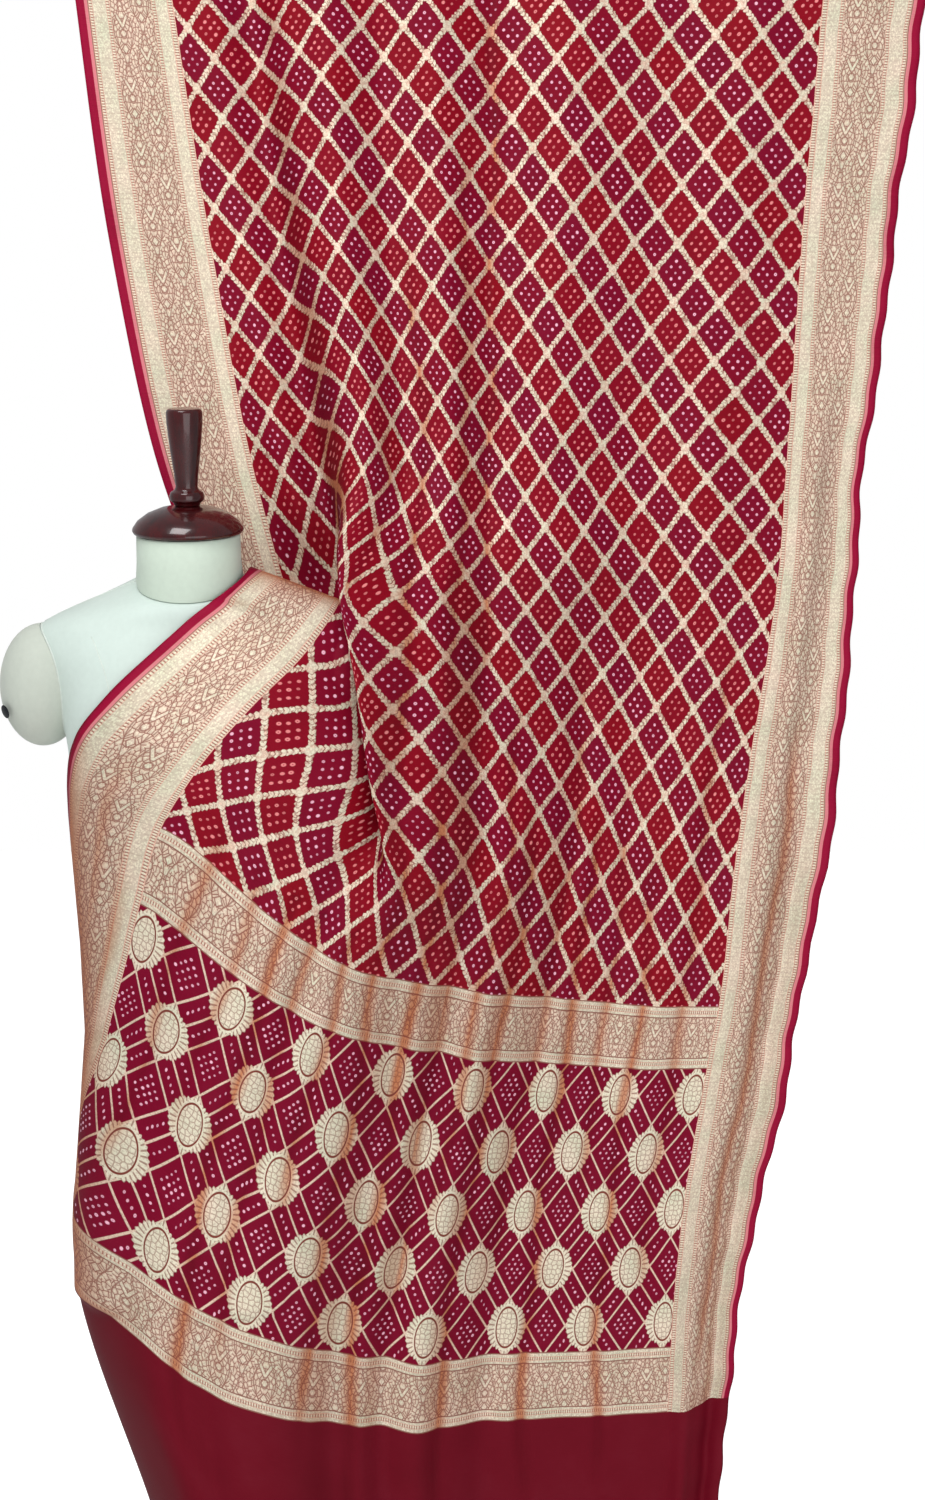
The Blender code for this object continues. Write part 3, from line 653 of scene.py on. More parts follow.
def cell_edges(tree, place, scale, disorder=1.0):
    """Distance to the nearest edge between irregular cells."""
    node = tree.nodes.new("ShaderNodeTexVoronoi")
    node.voronoi_dimensions = "2D"
    node.feature = "DISTANCE_TO_EDGE"
    node.inputs["Scale"].default_value = scale
    node.inputs["Randomness"].default_value = disorder
    feed(tree, place, node.inputs["Vector"])
    return Measure(tree, node.outputs["Distance"])


def chance(tree, x, y):
    """Three numbers from 0 to 1 that differ for each whole x and y."""
    node = tree.nodes.new("ShaderNodeTexWhiteNoise")
    feed(tree, place_of(tree, x, y), node.inputs["Vector"])
    split = tree.nodes.new("ShaderNodeSeparateColor")
    tree.links.new(node.outputs["Color"], split.inputs[0])
    return [Measure(tree, socket) for socket in split.outputs]


# --- Effects shared by several finishes: shader node groups ---
def use(tree, effect, *values):
    """Place an effect's group in a material and return its outputs in order."""
    node = tree.nodes.new("ShaderNodeGroup")
    node.node_tree = bpy.data.node_groups.get(effect.__name__) or new_group(effect)
    for socket, value in zip(node.inputs, values):
        feed(tree, value, socket)
    return [Measure(tree, socket) for socket in node.outputs]


def new_group(effect):
    """The node group of an effect, which takes its inputs and returns its outputs."""
    made = bpy.data.node_groups.new(effect.__name__, "ShaderNodeTree")
    for labels, side in zip(SOCKETS[effect], ("INPUT", "OUTPUT")):
        for label in labels.split():
            kind = "NodeSocketColor" if label in COLOUR_SOCKETS else "NodeSocketFloat"
            made.interface.new_socket(label, in_out=side, socket_type=kind)
    given = [Measure(made, socket) for socket in made.nodes.new("NodeGroupInput").outputs[:-1]]
    leave = made.nodes.new("NodeGroupOutput")
    for socket, value in zip(leave.inputs, effect(made, *given)):
        feed(made, value, socket)
    return made


def plain_weave(tree, across, along, pitch):
    """Over and under of a plain weave."""
    warp = (across * math.tau / pitch).wave()
    weft = (along * math.tau / pitch).wave()
    return [warp * weft * 0.5 + 0.5]


def silk_ground(tree, across, along, colour, fold):
    """Dyed silk: cloudy dye, fine slubs along the weft, and painted shade in the folds."""
    place = place_of(tree, across, along)
    clouds = cloudy(tree, place, 14.0, 3.0)
    slubs = cloudy(tree, place_of(tree, across * 60.0, along * 900.0), 1.0, 1.0)
    # fold darkens the dye here as painted shade in creases and on cloth turned edge-on.
    depth = (clouds - 0.5) * 0.9 + (slubs - 0.5) * 0.5 + fold * 0.45
    darker = tint(depth.held(), colour, (0.10, 0.0006, 0.006))
    return [tint((depth * -0.06).held(), darker, (0.55, 0.16, 0.24))]


def tied_dot(tree, across, along, seed_a, seed_b, radius, stretch):
    """A tied and dyed dot near a middle: its mask, its hollow and how pale it is."""
    push, lift, size = chance(tree, seed_a, seed_b)
    x = across + (push - 0.5) * radius * 0.7
    y = along + (lift - 0.5) * radius * 0.8
    slant = (x + y) * 0.7071 / stretch
    spread = distance(slant, (x - y) * 0.7071) / (radius * (size * 0.35 + 0.78))
    mask = spread.under(1.0, 0.45)
    hollow = spread.under(0.38, 0.3) * push.over(0.62, 0.1)
    return [mask, hollow, size]


def zari_colour(tree, across, along, fold, dark, pinkness, cream, green, pink, copper, shadow):
    """Woven gold: uneven cream and green, copper as painted shade in folds, ground between the
    threads.
    """
    place = place_of(tree, across, along)
    clouds = cloudy(tree, place, 22.0, 2.0)
    fine = cloudy(tree, place, 420.0, 1.0)
    gold = tint(clouds.over(0.5, 0.5), cream, green)
    gold = tint(pinkness, gold, pink)
    # Painted shade: copper where fold is high.
    gold = tint(fold, gold, copper)
    speck = fine.under(0.44, 0.16) * 0.35
    return [tint(dark.most(speck * 0.8), gold, shadow)]


def bead_row(tree, cross, along, pitch):
    """A line of small beads with dark checks beside them; cross is -0.5 to 0.5."""
    turn = along / pitch
    step = turn - turn.nearest()
    bead = distance(step * 0.9, cross * 0.85).under(0.30, 0.14)
    check = abs(abs(step) - 0.5).under(0.20, 0.12) * abs(cross).under(0.36, 0.10)
    return [bead, check * (1.0 - bead)]


def brocade(tree, across, along):
    """Half-drop brocade in repeats: dark outlines, and raised motifs with painted highlights in
    the middles of small cells.
    """
    column = sum_up(tree, "FLOOR", across)
    x = abs(across - column - 0.5)
    y = (along + column * 0.5).part() - 0.5
    swing = (y * math.tau).wave()
    stem = abs(x - (swing * 0.20 + 0.27)).under(0.030, 0.03)
    side = x - (y - 0.10) * 1.5
    leaf = abs(side - 0.02).under(0.060, 0.03) * y.over(0.08, 0.02) * y.under(0.28, 0.02)
    leaf_rim = abs(side - 0.02).under(0.115, 0.03) * y.over(0.06, 0.02) * y.under(0.30, 0.02)
    bud = x / 0.15 + abs(y + 0.26) / 0.075
    flower = distance(x, (y + 0.02) * 2.6)
    petals = abs(flower - 0.15).under(0.035, 0.03)
    low_leaf = abs(x - (y + 0.44) * 2.2).under(0.07, 0.03) * y.under(-0.33, 0.02)
    edge = cell_edges(tree, place_of(tree, x * 5.7 + 3.0, y * 12.4 + 7.0), 1.0)
    curls = edge.under(0.085, 0.05)
    dark = stem.most(leaf_rim - leaf).most(abs(bud - 1.1).under(0.22, 0.15)).most(petals)
    raised = leaf.most(bud.under(0.9, 0.1)).most(flower.under(0.10, 0.04)).most(low_leaf)
    # The middles of the small cells get a painted highlight: less pink gold, and raised too.
    raised_and_highlight = raised.most(edge.over(0.30, 0.08) * 0.8)
    return [(dark * 0.75).most(curls * (1.0 - raised * 0.7) * 0.85), raised_and_highlight]


def polish_wear(tree, x, y, z):
    """Faint dust and fine scratches on a hard surface, 0 to 1."""
    clouds = cloudy(tree, place_of(tree, x, y, z), 34.0, 4.0)
    lines = cloudy(tree, place_of(tree, x * 420.0, y * 420.0, z * 30.0), 1.0, 1.0)
    return [((clouds - 0.42) * 1.2 + (lines - 0.5) * 0.5).held()]


# Each effect's inputs and outputs.
SOCKETS = {
    plain_weave: ("Across Along Pitch", "Height"),
    silk_ground: ("Across Along Dye Fold", "Colour"),
    tied_dot: ("Across Along Seed_A Seed_B Radius Stretch", "Mask Hollow Paleness"),
    zari_colour: ("Across Along Fold Dark Pinkness Cream Green Pink Copper Shadow", "Colour"),
    bead_row: ("Cross Along Pitch", "Bead Check"),
    brocade: ("Across Along", "Outline Raised"),
    polish_wear: ("X Y Z", "Wear"),
}
COLOUR_SOCKETS = ("Dye", "Cream", "Green", "Pink", "Copper", "Shadow", "Colour")


# --- Finishes ---
def new_finish(name, colour, **constants):
    """A material with its constants on the shader's own sockets."""
    made = bpy.data.materials.new(name)
    made.use_nodes = True
    made.diffuse_color = (*tuple(colour)[:3], 1.0)
    shader = made.node_tree.nodes["Principled BSDF"]
    for label, value in constants.items():
        feed(made.node_tree, value, shader.inputs[label.replace("_", " ")])
    return made, made.node_tree, shader


def raise_surface(tree, shader, height, depth, strength):
    bump = tree.nodes.new("ShaderNodeBump")
    bump.inputs["Strength"].default_value = strength
    bump.inputs["Distance"].default_value = depth
    feed(tree, height, bump.inputs["Height"])
    tree.links.new(bump.outputs["Normal"], shader.inputs["Normal"])


class ClothFinish:
    """One stretch of the saree: its place on the flat cloth and its shared effects."""

    def __init__(self, name, sizes, colours):
        self.sizes = sizes
        self.colours = colours
        self.material, self.tree, self.shader = new_finish(
            name, colours.maroon, Specular_IOR_Level=0.08)
        flat = self.tree.nodes.new("ShaderNodeUVMap")
        flat.uv_map = "flat_cloth"
        split = self.tree.nodes.new("ShaderNodeSeparateXYZ")
        self.tree.links.new(flat.outputs[0], split.inputs[0])
        self.across = Measure(self.tree, split.outputs[0]) * SAREE_WIDTH
        self.along = Measure(self.tree, split.outputs[1]) * SAREE_LENGTH
        # Painted shade: the crease depth kept on the mesh and the cloth turning edge-on to the
        # view darken the silk and turn the gold to copper.
        crease = self.tree.nodes.new("ShaderNodeAttribute")
        crease.attribute_name = "crease_shade"
        turned = Measure(self.tree, self.tree.nodes.new("ShaderNodeLayerWeight").outputs["Facing"])
        self.fold = Measure(self.tree, crease.outputs["Fac"]).most(turned.over(0.52, 0.5))
        self.place = place_of(self.tree, self.across, self.along)

    def silk(self, colour):
        return use(self.tree, silk_ground, self.across, self.along, colour, self.fold)[0]

    def zari(self, dark, pinkness):
        dyes = self.colours
        return use(self.tree, zari_colour, self.across, self.along, self.fold, dark, pinkness,
                   dyes.cream, dyes.green, dyes.pink, dyes.copper, dyes.shadow)[0]

    def dot(self, across, along, seed_a, seed_b, radius, stretch=1.0):
        return use(self.tree, tied_dot, across, along, seed_a, seed_b, radius, stretch)

    def finish(self, colour, gold, height, depth):
        """Silk where gold is 0 and metal thread where it is 1."""
        weave = use(self.tree, plain_weave, self.across, self.along, self.sizes.thread)[0]
        feed(self.tree, colour, self.shader.inputs["Base Color"])
        feed(self.tree, 0.58 - gold * 0.12, self.shader.inputs["Roughness"])
        feed(self.tree, gold * 0.22, self.shader.inputs["Metallic"])
        raise_surface(self.tree, self.shader, height + weave * 0.12, depth, 0.8)
        return self.material


def trellis_finish(sizes, colours):
    """Main field: a trellis of vines over diamonds with nine tied dots each."""
    cloth = ClothFinish("saree_trellis", sizes, colours)
    wander = cloudy(cloth.tree, cloth.place, 11.0, 1.0) - 0.5
    a = (cloth.across - TRELLIS_START + wander * 0.0040) / sizes.trellis_across
    b = (cloth.along - UPPER_BAND[1] - wander * 0.0050) / sizes.trellis_along
    rising, falling = a + b, a - b
    row, column = rising.nearest(), falling.nearest()
    r, f = rising - row, falling - column
    odd = (row * 0.5).part() * 2.0
    near_r, near_f = [(way / DIAMOND_STEP).nearest().least(1.0).most(-1.0) for way in (r, f)]
    off_r, off_f = r - near_r * DIAMOND_STEP, f - near_f * DIAMOND_STEP
    dot, hollow, pale = cloth.dot((off_r + off_f) * (sizes.trellis_across / 2),
                                  (off_r - off_f) * (sizes.trellis_along / 2),
                                  row * 7.0 + near_r, column * 7.0 + near_f, sizes.dot,
                                  odd * 0.30 + 1.0)
    grain, luck = grains(cloth.tree, cloth.place, 250.0)
    to_vine = (0.5 - abs(r).most(abs(f))) * TRELLIS_SQUARE
    node = distance(0.5 - abs(r), 0.5 - abs(f)).under(0.135, 0.03)
    beads = ((r + (f - r) * abs(r).over(abs(f), 0.001)) * VINE_BEADS + to_vine * BEAD_LEAN
             + grain * 0.3)
    bead = abs(beads - beads.nearest())
    gap = bead.over(0.39, 0.07) * (luck * 0.5 + 0.55)
    vine = to_vine.under((0.55 - grain) * 0.0016 - bead * 0.0022 + sizes.vine + 0.0005, 0.0008)
    dark = gap.most(grain.over(0.58, 0.1) * luck.over(0.45, 0.2) * 0.7)
    dark = dark * (1.0 - node * 0.6)
    gold = vine.most(node)
    uneven = chance(cloth.tree, row + 0.5, column)[0]
    ground = cloth.silk(tint(odd * 0.65 + uneven * 0.35, colours.maroon, colours.red))
    dotted = tint(dot * (0.55 + pale * 0.45) * (1.0 - hollow * 0.6), ground,
                  tint(odd, colours.pale_dot, colours.red_dot))
    colour = tint(gold, dotted, cloth.zari(dark * 0.9, luck * 0.55))
    return cloth.finish(colour, gold, gold * (1.0 - dark * 0.6) + dot * 0.5, 0.0006)


def lane(tree, value):
    """Offsets and seeds in the end panel's wide and narrow lanes, for one direction."""
    turn = value.nearest()
    f = value - turn
    wide = abs(f).over(0.25, 0.004)
    side = sum_up(tree, "SIGN", f)
    g = f - side * 0.5
    near = (sum_up(tree, "FLOOR", g / PANEL_STEP).least(1.0).most(-2.0) + 0.5) * PANEL_STEP
    narrow = abs(f) - 0.125
    offset = narrow + (g - near - narrow) * wide
    line = abs(f).least(abs(abs(f) - 0.25))
    return offset, line, turn * 9.0 + near * 30.0, wide


def panel_finish(sizes, colours):
    """End panel: medallions on a net of fine lines, with tied dots between."""
    cloth = ClothFinish("saree_end_panel", sizes, colours)
    tree = cloth.tree
    wander = cloudy(tree, cloth.place, 12.0, 1.0) - 0.5
    pitch_across, pitch_along = 2 * sizes.trellis_across, 2 * sizes.motif_rows
    across = cloth.across - TRELLIS_START + wander * 0.0036
    along = cloth.along - MOTIF_START - wander * 0.0044
    a, b = across / pitch_across, along / pitch_along
    off_r, line_r, seed_r, wide_r = lane(tree, a + b)
    off_f, line_f, seed_f, wide_f = lane(tree, a - b)
    dot, hollow, pale = cloth.dot((off_r + off_f) * (pitch_across / 2),
                                  (off_r - off_f) * (pitch_along / 2),
                                  seed_r, seed_f, sizes.panel_dot, 1.15)
    either = wide_r.most(wide_f)
    net = (line_r.least(line_f) * NET_SQUARE).under(sizes.panel_line, 0.0007)
    level = (along / sizes.motif_rows).nearest()
    shift = (level * 0.5).part()
    count = (a - shift).nearest()
    x = (across - (count + shift) * pitch_across) / sizes.motif_across
    y = (along - level * sizes.motif_rows) / sizes.motif_along
    tall = abs(y)
    ruffle = (sum_up(tree, "ARCTAN2", x, y) * RUFFLES).wave()
    frilled = distance(x, y * 1.24) + ruffle * 0.034
    tip = abs(x) / 0.62 + tall ** 1.5
    motif = frilled.least(tip).under(0.97, 0.05)
    oval = (x * x) / 0.29 + tall * tall * 2.3
    outline = abs(oval - 1.0).under(0.11, 0.06)
    pale_rim = abs(oval - 1.24).under(0.15, 0.05)
    inside = oval.under(0.94, 0.05)
    floret_gap = cell_edges(tree, place_of(tree, x, y * 1.40), 4.2, 0.5).under(0.10, 0.07) * inside
    frill_gap = ruffle.over(0.50, 0.40) * (1.0 - inside) * (1.0 - pale_rim)
    dark = outline.most(floret_gap * 0.55).most(frill_gap * 0.70)
    gold = motif.most(net)
    ground = cloth.silk(colours.maroon)
    shown = dot * either * (0.6 + pale * 0.4) * (1.0 - hollow * 0.5)
    dotted = tint(shown, ground, colours.pale_dot)
    pinkness = net * (1.0 - motif) * 0.45
    colour = tint(gold, dotted, cloth.zari(dark * motif, pinkness))
    return cloth.finish(colour, gold, gold * (1.0 - dark * 0.6) + dot * 0.4, 0.0006)


def striped(cloth, stripes, from_edge, run, repeat_from, repeat_run):
    """Colours and heights of the woven stripes of a border or band."""
    tree = cloth.tree
    masks = {kind: 0.0 for kind in ("selvedge", "pink", "line", "beads", "zari", "brocade")}
    cross = start = 0.0
    for place, (kind, width) in enumerate(stripes):
        inside = from_edge.over(start, 0.0006) if place else 1.0
        if place + 1 < len(stripes):
            inside = inside * from_edge.under(start + width, 0.0006)
        masks[kind] = masks[kind] + inside
        if kind == "beads":
            cross = cross + inside * ((from_edge - start) / width - 0.5)
        start += width
    bead, check = use(tree, bead_row, cross, run, cloth.sizes.bead_pitch)
    # raised also carries the brocade's painted highlights, which make the gold less pink.
    outline, raised = use(tree, brocade, repeat_from, repeat_run)
    grain, luck = grains(tree, cloth.place, 430.0)
    speckle = grain.over(0.46, 0.16) * (1.0 - raised) * 0.30
    rib = (run * (math.tau / RIB_PITCH)).wave().over(0.80, 0.3) * 0.14
    dark = (masks["brocade"] * outline.most(speckle) + masks["line"] * 0.9
            + masks["beads"] * check * 0.75
            + masks["zari"] * (rib + grain.over(0.48, 0.16) * 0.30))
    pinkness = (masks["brocade"] * (0.22 - raised * 0.22 + luck * 0.22)
                + masks["beads"] * (0.80 - bead * 0.75))
    colour = cloth.zari(dark, pinkness)
    height = (masks["brocade"] * (0.5 + raised * 0.5 - outline * 0.5)
              + masks["beads"] * bead + masks["zari"] * 0.6)
    return colour, height, masks


def border_finish(sizes, colours):
    """Border along each selvedge."""
    cloth = ClothFinish("saree_border", sizes, colours)
    from_edge = cloth.across.least(SAREE_WIDTH - cloth.across)
    before = sum(width for kind, width in BORDER_STRIPES[:6])
    repeat = (from_edge - before) / sizes.brocade_across
    colour, height, masks = striped(cloth, BORDER_STRIPES, from_edge, cloth.along, repeat,
                                    cloth.along / sizes.brocade_along)
    plain = masks["selvedge"] + masks["pink"]
    silk = cloth.silk(tint(masks["pink"], colours.selvedge, colours.stripe))
    return cloth.finish(tint(plain, colour, silk), 1.0 - plain, height, 0.0005)


def band_finish(sizes, colours):
    """Woven band across the cloth, above and below the end panel."""
    cloth = ClothFinish("saree_band", sizes, colours)
    upper = cloth.along.over(0.5, 0.01)
    start = upper * (UPPER_BAND[0] - LOWER_BAND[0]) + LOWER_BAND[0]
    depth = ((UPPER_BAND[1] - UPPER_BAND[0]) * upper
             + (LOWER_BAND[1] - LOWER_BAND[0]) * (1.0 - upper))
    inwards = cloth.along - start
    from_edge = inwards.least(depth - inwards)
    colour, height, masks = striped(cloth, BAND_STRIPES, from_edge, cloth.across,
                                    cloth.across / sizes.brocade_across,
                                    inwards / sizes.brocade_along)
    return cloth.finish(colour, 1.0 - masks["line"] * 0.2, height, 0.0005)


def end_finish(sizes, colours):
    """Plain end below the lower band, with one short row of small dots near its foot."""
    cloth = ClothFinish("saree_plain_end", sizes, colours)
    count = (cloth.along / END_DOT_STEP).nearest()
    dot = cloth.dot(cloth.across - END_DOTS_ACROSS, cloth.along - count * END_DOT_STEP, count,
                    3.0, END_DOT_RADIUS)[0]
    shown = dot * cloth.along.under(END_DOTS_TOP, 0.01)
    colour = tint(shown * 0.8, cloth.silk(colours.end), colours.pale_dot)
    return cloth.finish(colour, shown * 0.0, shown * 0.5, 0.0003)


def object_place(tree):
    coordinates = tree.nodes.new("ShaderNodeTexCoord")
    split = tree.nodes.new("ShaderNodeSeparateXYZ")
    tree.links.new(coordinates.outputs["Object"], split.inputs[0])
    return [Measure(tree, socket) for socket in split.outputs]


def cotton_finish(looks, name, colour, marks_and_weave_shade):
    """Stretched cotton: fine weave, faint marks, a slightly uneven tone and painted shade in the
    weave's low points.
    """
    material, tree, shader = new_finish(name, colour, Roughness=0.62, Sheen_Weight=0.18,
                                        Specular_IOR_Level=0.3)
    x, y, z = object_place(tree)
    place = place_of(tree, x, y, z)
    weave = use(tree, plain_weave, x + y * 0.8, z, COTTON_THREAD)[0]
    marks = cloudy(tree, place, 9.0, 4.0)
    fine = cloudy(tree, place, 160.0, 2.0)
    # Marks and uneven tone are the cotton's own; the darker weave hollows are painted shade.
    amount = (marks.over(0.52, 0.35) * 0.55 + (fine - 0.5) * 0.5 + (1.0 - weave) * 0.10) * marks_and_weave_shade
    feed(tree, tint(amount, colour, looks.seam), shader.inputs["Base Color"])
    raise_surface(tree, shader, weave * 0.5 + fine * 0.5, 0.0003, 0.5)
    return material


def wood_finish(looks):
    """Dark polished wood with long grain and a clear coat."""
    material, tree, shader = new_finish("dark_polished_wood", looks.wood, Coat_Weight=0.6,
                                        Coat_Roughness=0.05, Specular_IOR_Level=0.25)
    x, y, z = object_place(tree)
    rings = cloudy(tree, place_of(tree, x * 46.0, y * 46.0, z * 5.0), 1.0, 3.0)
    pores = cloudy(tree, place_of(tree, x * 420.0, y * 420.0, z * 30.0), 1.0, 1.0)
    wear = use(tree, polish_wear, x, y, z)[0]
    grain = ((rings - 0.40) * 2.4 + (pores - 0.5) * 0.8).held()
    colour = tint(grain, looks.wood, looks.grain)
    feed(tree, tint(wear * 0.02, colour, (0.4, 0.3, 0.28)), shader.inputs["Base Color"])
    feed(tree, wear * 0.12 + 0.24, shader.inputs["Roughness"])
    raise_surface(tree, shader, pores * 0.5 + rings * 0.5, 0.0001, 0.10)
    return material


def metal_finish(name, colour, roughness):
    """Drawn or blackened steel with fine scratches."""
    material, tree, shader = new_finish(name, colour, Metallic=1.0)
    x, y, z = object_place(tree)
    wear = use(tree, polish_wear, x, y, z)[0]
    feed(tree, tint(wear * 0.4, colour, (0.30, 0.29, 0.28)), shader.inputs["Base Color"])
    feed(tree, wear * 0.25 + roughness, shader.inputs["Roughness"])
    raise_surface(tree, shader, wear, 0.0001, 0.3)
    return material


# --- Modelling helpers ---
def pick_none():
    bpy.ops.object.select_all(action="DESELECT")


def only(piece):
    """Select one piece and nothing else."""
    pick_none()
    piece.select_set(True)
    bpy.context.view_layer.objects.active = piece


def edit_all(piece):
    """Go into edit mode with the whole of one piece selected."""
    only(piece)
    bpy.ops.object.mode_set(mode="EDIT")
    bpy.ops.mesh.select_all(action="SELECT")


def turn_outwards():
    """Point the selected faces outwards and leave edit mode."""
    bpy.ops.mesh.normals_make_consistent(inside=False)
    bpy.ops.object.mode_set(mode="OBJECT")


def shade_round(piece, degrees):
    """Shade a piece smooth, with its edges over an angle left sharp."""
    only(piece)
    bpy.ops.object.shade_smooth_by_angle(angle=math.radians(degrees))


def soften_edges(piece, width, degrees):
    """Round the edges over an angle and shade the rest smooth."""
    apply_modifier(piece, "BEVEL", width=width, segments=3, limit_method="ANGLE",
                   angle_limit=math.radians(degrees))
    shade_round(piece, HARD_ANGLE)


def apply_modifier(piece, kind, **settings):
    only(piece)
    added = piece.modifiers.new(kind.title(), kind)
    for key, value in settings.items():
        setattr(added, key, value)
    bpy.ops.object.modifier_apply(modifier=added.name)


def finish_piece(piece, name, finish, slot, *nodes):
    """Settle a piece's place into its mesh and say what it stands for."""
    only(piece)
    bpy.ops.object.transform_apply(location=True, rotation=True, scale=True)
    piece.name = name
    piece.data.name = name
    if finish:
        piece.data.materials.clear()
        piece.data.materials.append(finish)
    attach(piece, "root")
    if nodes:
        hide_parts(*nodes)


def select_top(piece, depth):
    """In edit mode, select the faces that lie at the top of the piece."""
    bpy.ops.object.mode_set(mode="OBJECT")
    top = max(corner.co.z for corner in piece.data.vertices)
    for face in piece.data.polygons:
        face.select = all(piece.data.vertices[k].co.z > top - depth for k in face.vertices)
    bpy.ops.object.mode_set(mode="EDIT")


def lean_ring(tilt, y, z):
    """Turn the picked ring about X until it rises by tilt for each metre towards the back."""
    if tilt:
        bpy.ops.transform.rotate(value=-math.atan(tilt), orient_axis="X",
                                 center_override=(0.0, y, z))


def stack_rings(rings, sides):
    """Extrude a disc up through rings: half width, half depth, middle y, height, tilt."""
    wide, deep, middle, height, tilt = rings[0]
    pick_none()
    bpy.ops.mesh.primitive_circle_add(vertices=sides, radius=1.0, fill_type="NGON",
                                      location=(0.0, middle, height))
    piece = bpy.context.object
    piece.scale = (wide, deep, 1.0)
    bpy.ops.object.transform_apply(location=True, rotation=True, scale=True)
    edit_all(piece)
    lean_ring(tilt, middle, height)
    for ring in rings[1:]:
        step = (0.0, ring[2] - middle, ring[3] - height)
        bpy.ops.mesh.extrude_region_move(TRANSFORM_OT_translate={"value": step})
        lean_ring(-tilt, ring[2], ring[3])
        bpy.ops.transform.resize(value=(ring[0] / wide, ring[1] / deep, 1.0),
                                 center_override=(0.0, ring[2], ring[3]))
        lean_ring(ring[4], ring[2], ring[3])
        wide, deep, middle, height, tilt = ring
    bpy.ops.mesh.select_all(action="SELECT")
    turn_outwards()
    return piece


def turn_piece(profile, sides):
    """A turned piece from (radius, height) pairs, top down, with softened edges."""
    rings = [(radius, radius, 0.0, height, 0.0) for radius, height in reversed(profile[1:-1])]
    piece = stack_rings(rings, sides)
    soften_edges(piece, EDGE_ROUNDING, 28)
    return piece


def seam_tape(points, radius, closed):
    """A thin round tape along points, as a mesh."""
    curve = bpy.data.curves.new("tape", "CURVE")
    curve.dimensions = "3D"
    curve.bevel_depth = radius
    curve.bevel_resolution = 2
    curve.use_fill_caps = not closed
    path = curve.splines.new("POLY")
    path.points.add(len(points) - 1)
    path.use_cyclic_u = closed
    for place, point in zip(path.points, points):
        place.co = (*point, 1.0)
    tape = bpy.data.objects.new("tape", curve)
    bpy.context.scene.collection.objects.link(tape)
    only(tape)
    bpy.ops.object.convert(target="MESH")
    piece = bpy.context.object
    edit_all(piece)
    bpy.ops.mesh.remove_doubles(threshold=MERGE_GAP)
    turn_outwards()
    bpy.ops.object.shade_smooth()
    return piece


# --- The fine cloth ---
def selvedge_wave(across, along):
    """Waviness of the loose right selvedge."""
    reach = max(0.0, (across - WAVE_START) / (SAREE_WIDTH - WAVE_START)) ** 1.6
    wave = sum(rise * math.sin(math.tau * along / step + start)
               for step, start, rise in SELVEDGE_WAVES)
    return wave * reach


def crumple(across, along):
    return sum(rise * noise.noise(Vector((across * waves, along * waves * CRUMPLE_LENGTH, waves)))
               for waves, rise in CRUMPLES)


def cloth_point(section, column):
    """Flat place, place in space and crease depth at a column on one cross section.

    A crease's depth also sets the painted shade in it: copper on the gold and darker silk."""
    across, along, x, y, z = smooth(section, column)
    layer = min(max(column - 2.0, 0.0), 2.0) * max(0.0, 1.0 - max(0.0, column - 4.0))
    x, y, z = clear_of_form((x, y, z), CLEARANCE + LAYER_GAP * layer)
    tucked = (TUCK_COLUMNS[0] < column < TUCK_COLUMNS[1]
              and TUCK_ALONG[0] < along < TUCK_ALONG[1])
    crease = 0.0 if tucked else fold_rise(CREASES, across, along, CREASE_FADE, CREASE_SWAY)
    wave = selvedge_wave(across, along)
    x += wave * 0.9
    y -= fold_rise(FOLDS, across, along, FOLD_FADE) + crease + wave
    if not tucked:
        y -= crumple(across, along)
    # depth of the painted shade in the crease, from 0 to 1
    depth = min(1.0, max(0.0, -crease / DEEP_CREASE))
    return across, along, clear_of_form((x, y, z), CLEARANCE), depth


class DrapeSaree(bpy.types.Operator):
    """Drape the fine cloth over the form and give each stretch its finish"""

    bl_idname = "saree.drape"
    bl_label = "Drape the saree"

    def execute(self, context):
        sizes, colours = context.scene.saree_sizes, context.scene.saree_colours
        lines = cloth_lines()
        across_places, along_places = fractions(FINE_ACROSS), fractions(FINE_ALONG)
        columns, rows = len(across_places) - 1, len(along_places) - 1
        pick_none()
        bpy.ops.mesh.primitive_grid_add(x_subdivisions=columns, y_subdivisions=rows, size=2.0)
        saree = context.object
        sections = [np.array([smooth(line, place) for line in lines]) for place in along_places]
        flat, crease_shades = [], []
        for corner in saree.data.vertices:
            column = round((corner.co.x + 1.0) / 2.0 * columns)
            row = round((corner.co.y + 1.0) / 2.0 * rows)
            across, along, place, depth = cloth_point(sections[row], across_places[column])
            corner.co = place
            flat.append((across / SAREE_WIDTH, along / SAREE_LENGTH))
            crease_shades.append(depth)
        layer = saree.data.uv_layers[0]
        layer.name = "flat_cloth"
        for loop in saree.data.loops:
            layer.data[loop.index].uv = flat[loop.vertex_index]
        # The crease depth is kept on the mesh for the painted shade in the creases.
        crease_shade_layer = saree.data.attributes.new("crease_shade", "FLOAT", "POINT")
        crease_shade_layer.data.foreach_set("value", crease_shades)
        saree.data.materials.clear()
        # In the order of the stretches, FIELD to PLAIN_END.
        for finish in (trellis_finish, panel_finish, band_finish, border_finish, end_finish):
            saree.data.materials.append(finish(sizes, colours))
        for face in saree.data.polygons:
            places = [layer.data[k].uv for k in face.loop_indices]
            face.material_index = stretch_of(sum(place[0] for place in places) / len(places),
                                             sum(place[1] for place in places) / len(places))
        edit_all(saree)
        turn_outwards()
        bpy.ops.object.shade_smooth()
        apply_modifier(saree, "SOLIDIFY", thickness=sizes.thickness, offset=0.0, use_rim=True)
        finish_piece(saree, "draped_saree", None, "saree", "saree_cloth")
        return {"FINISHED"}


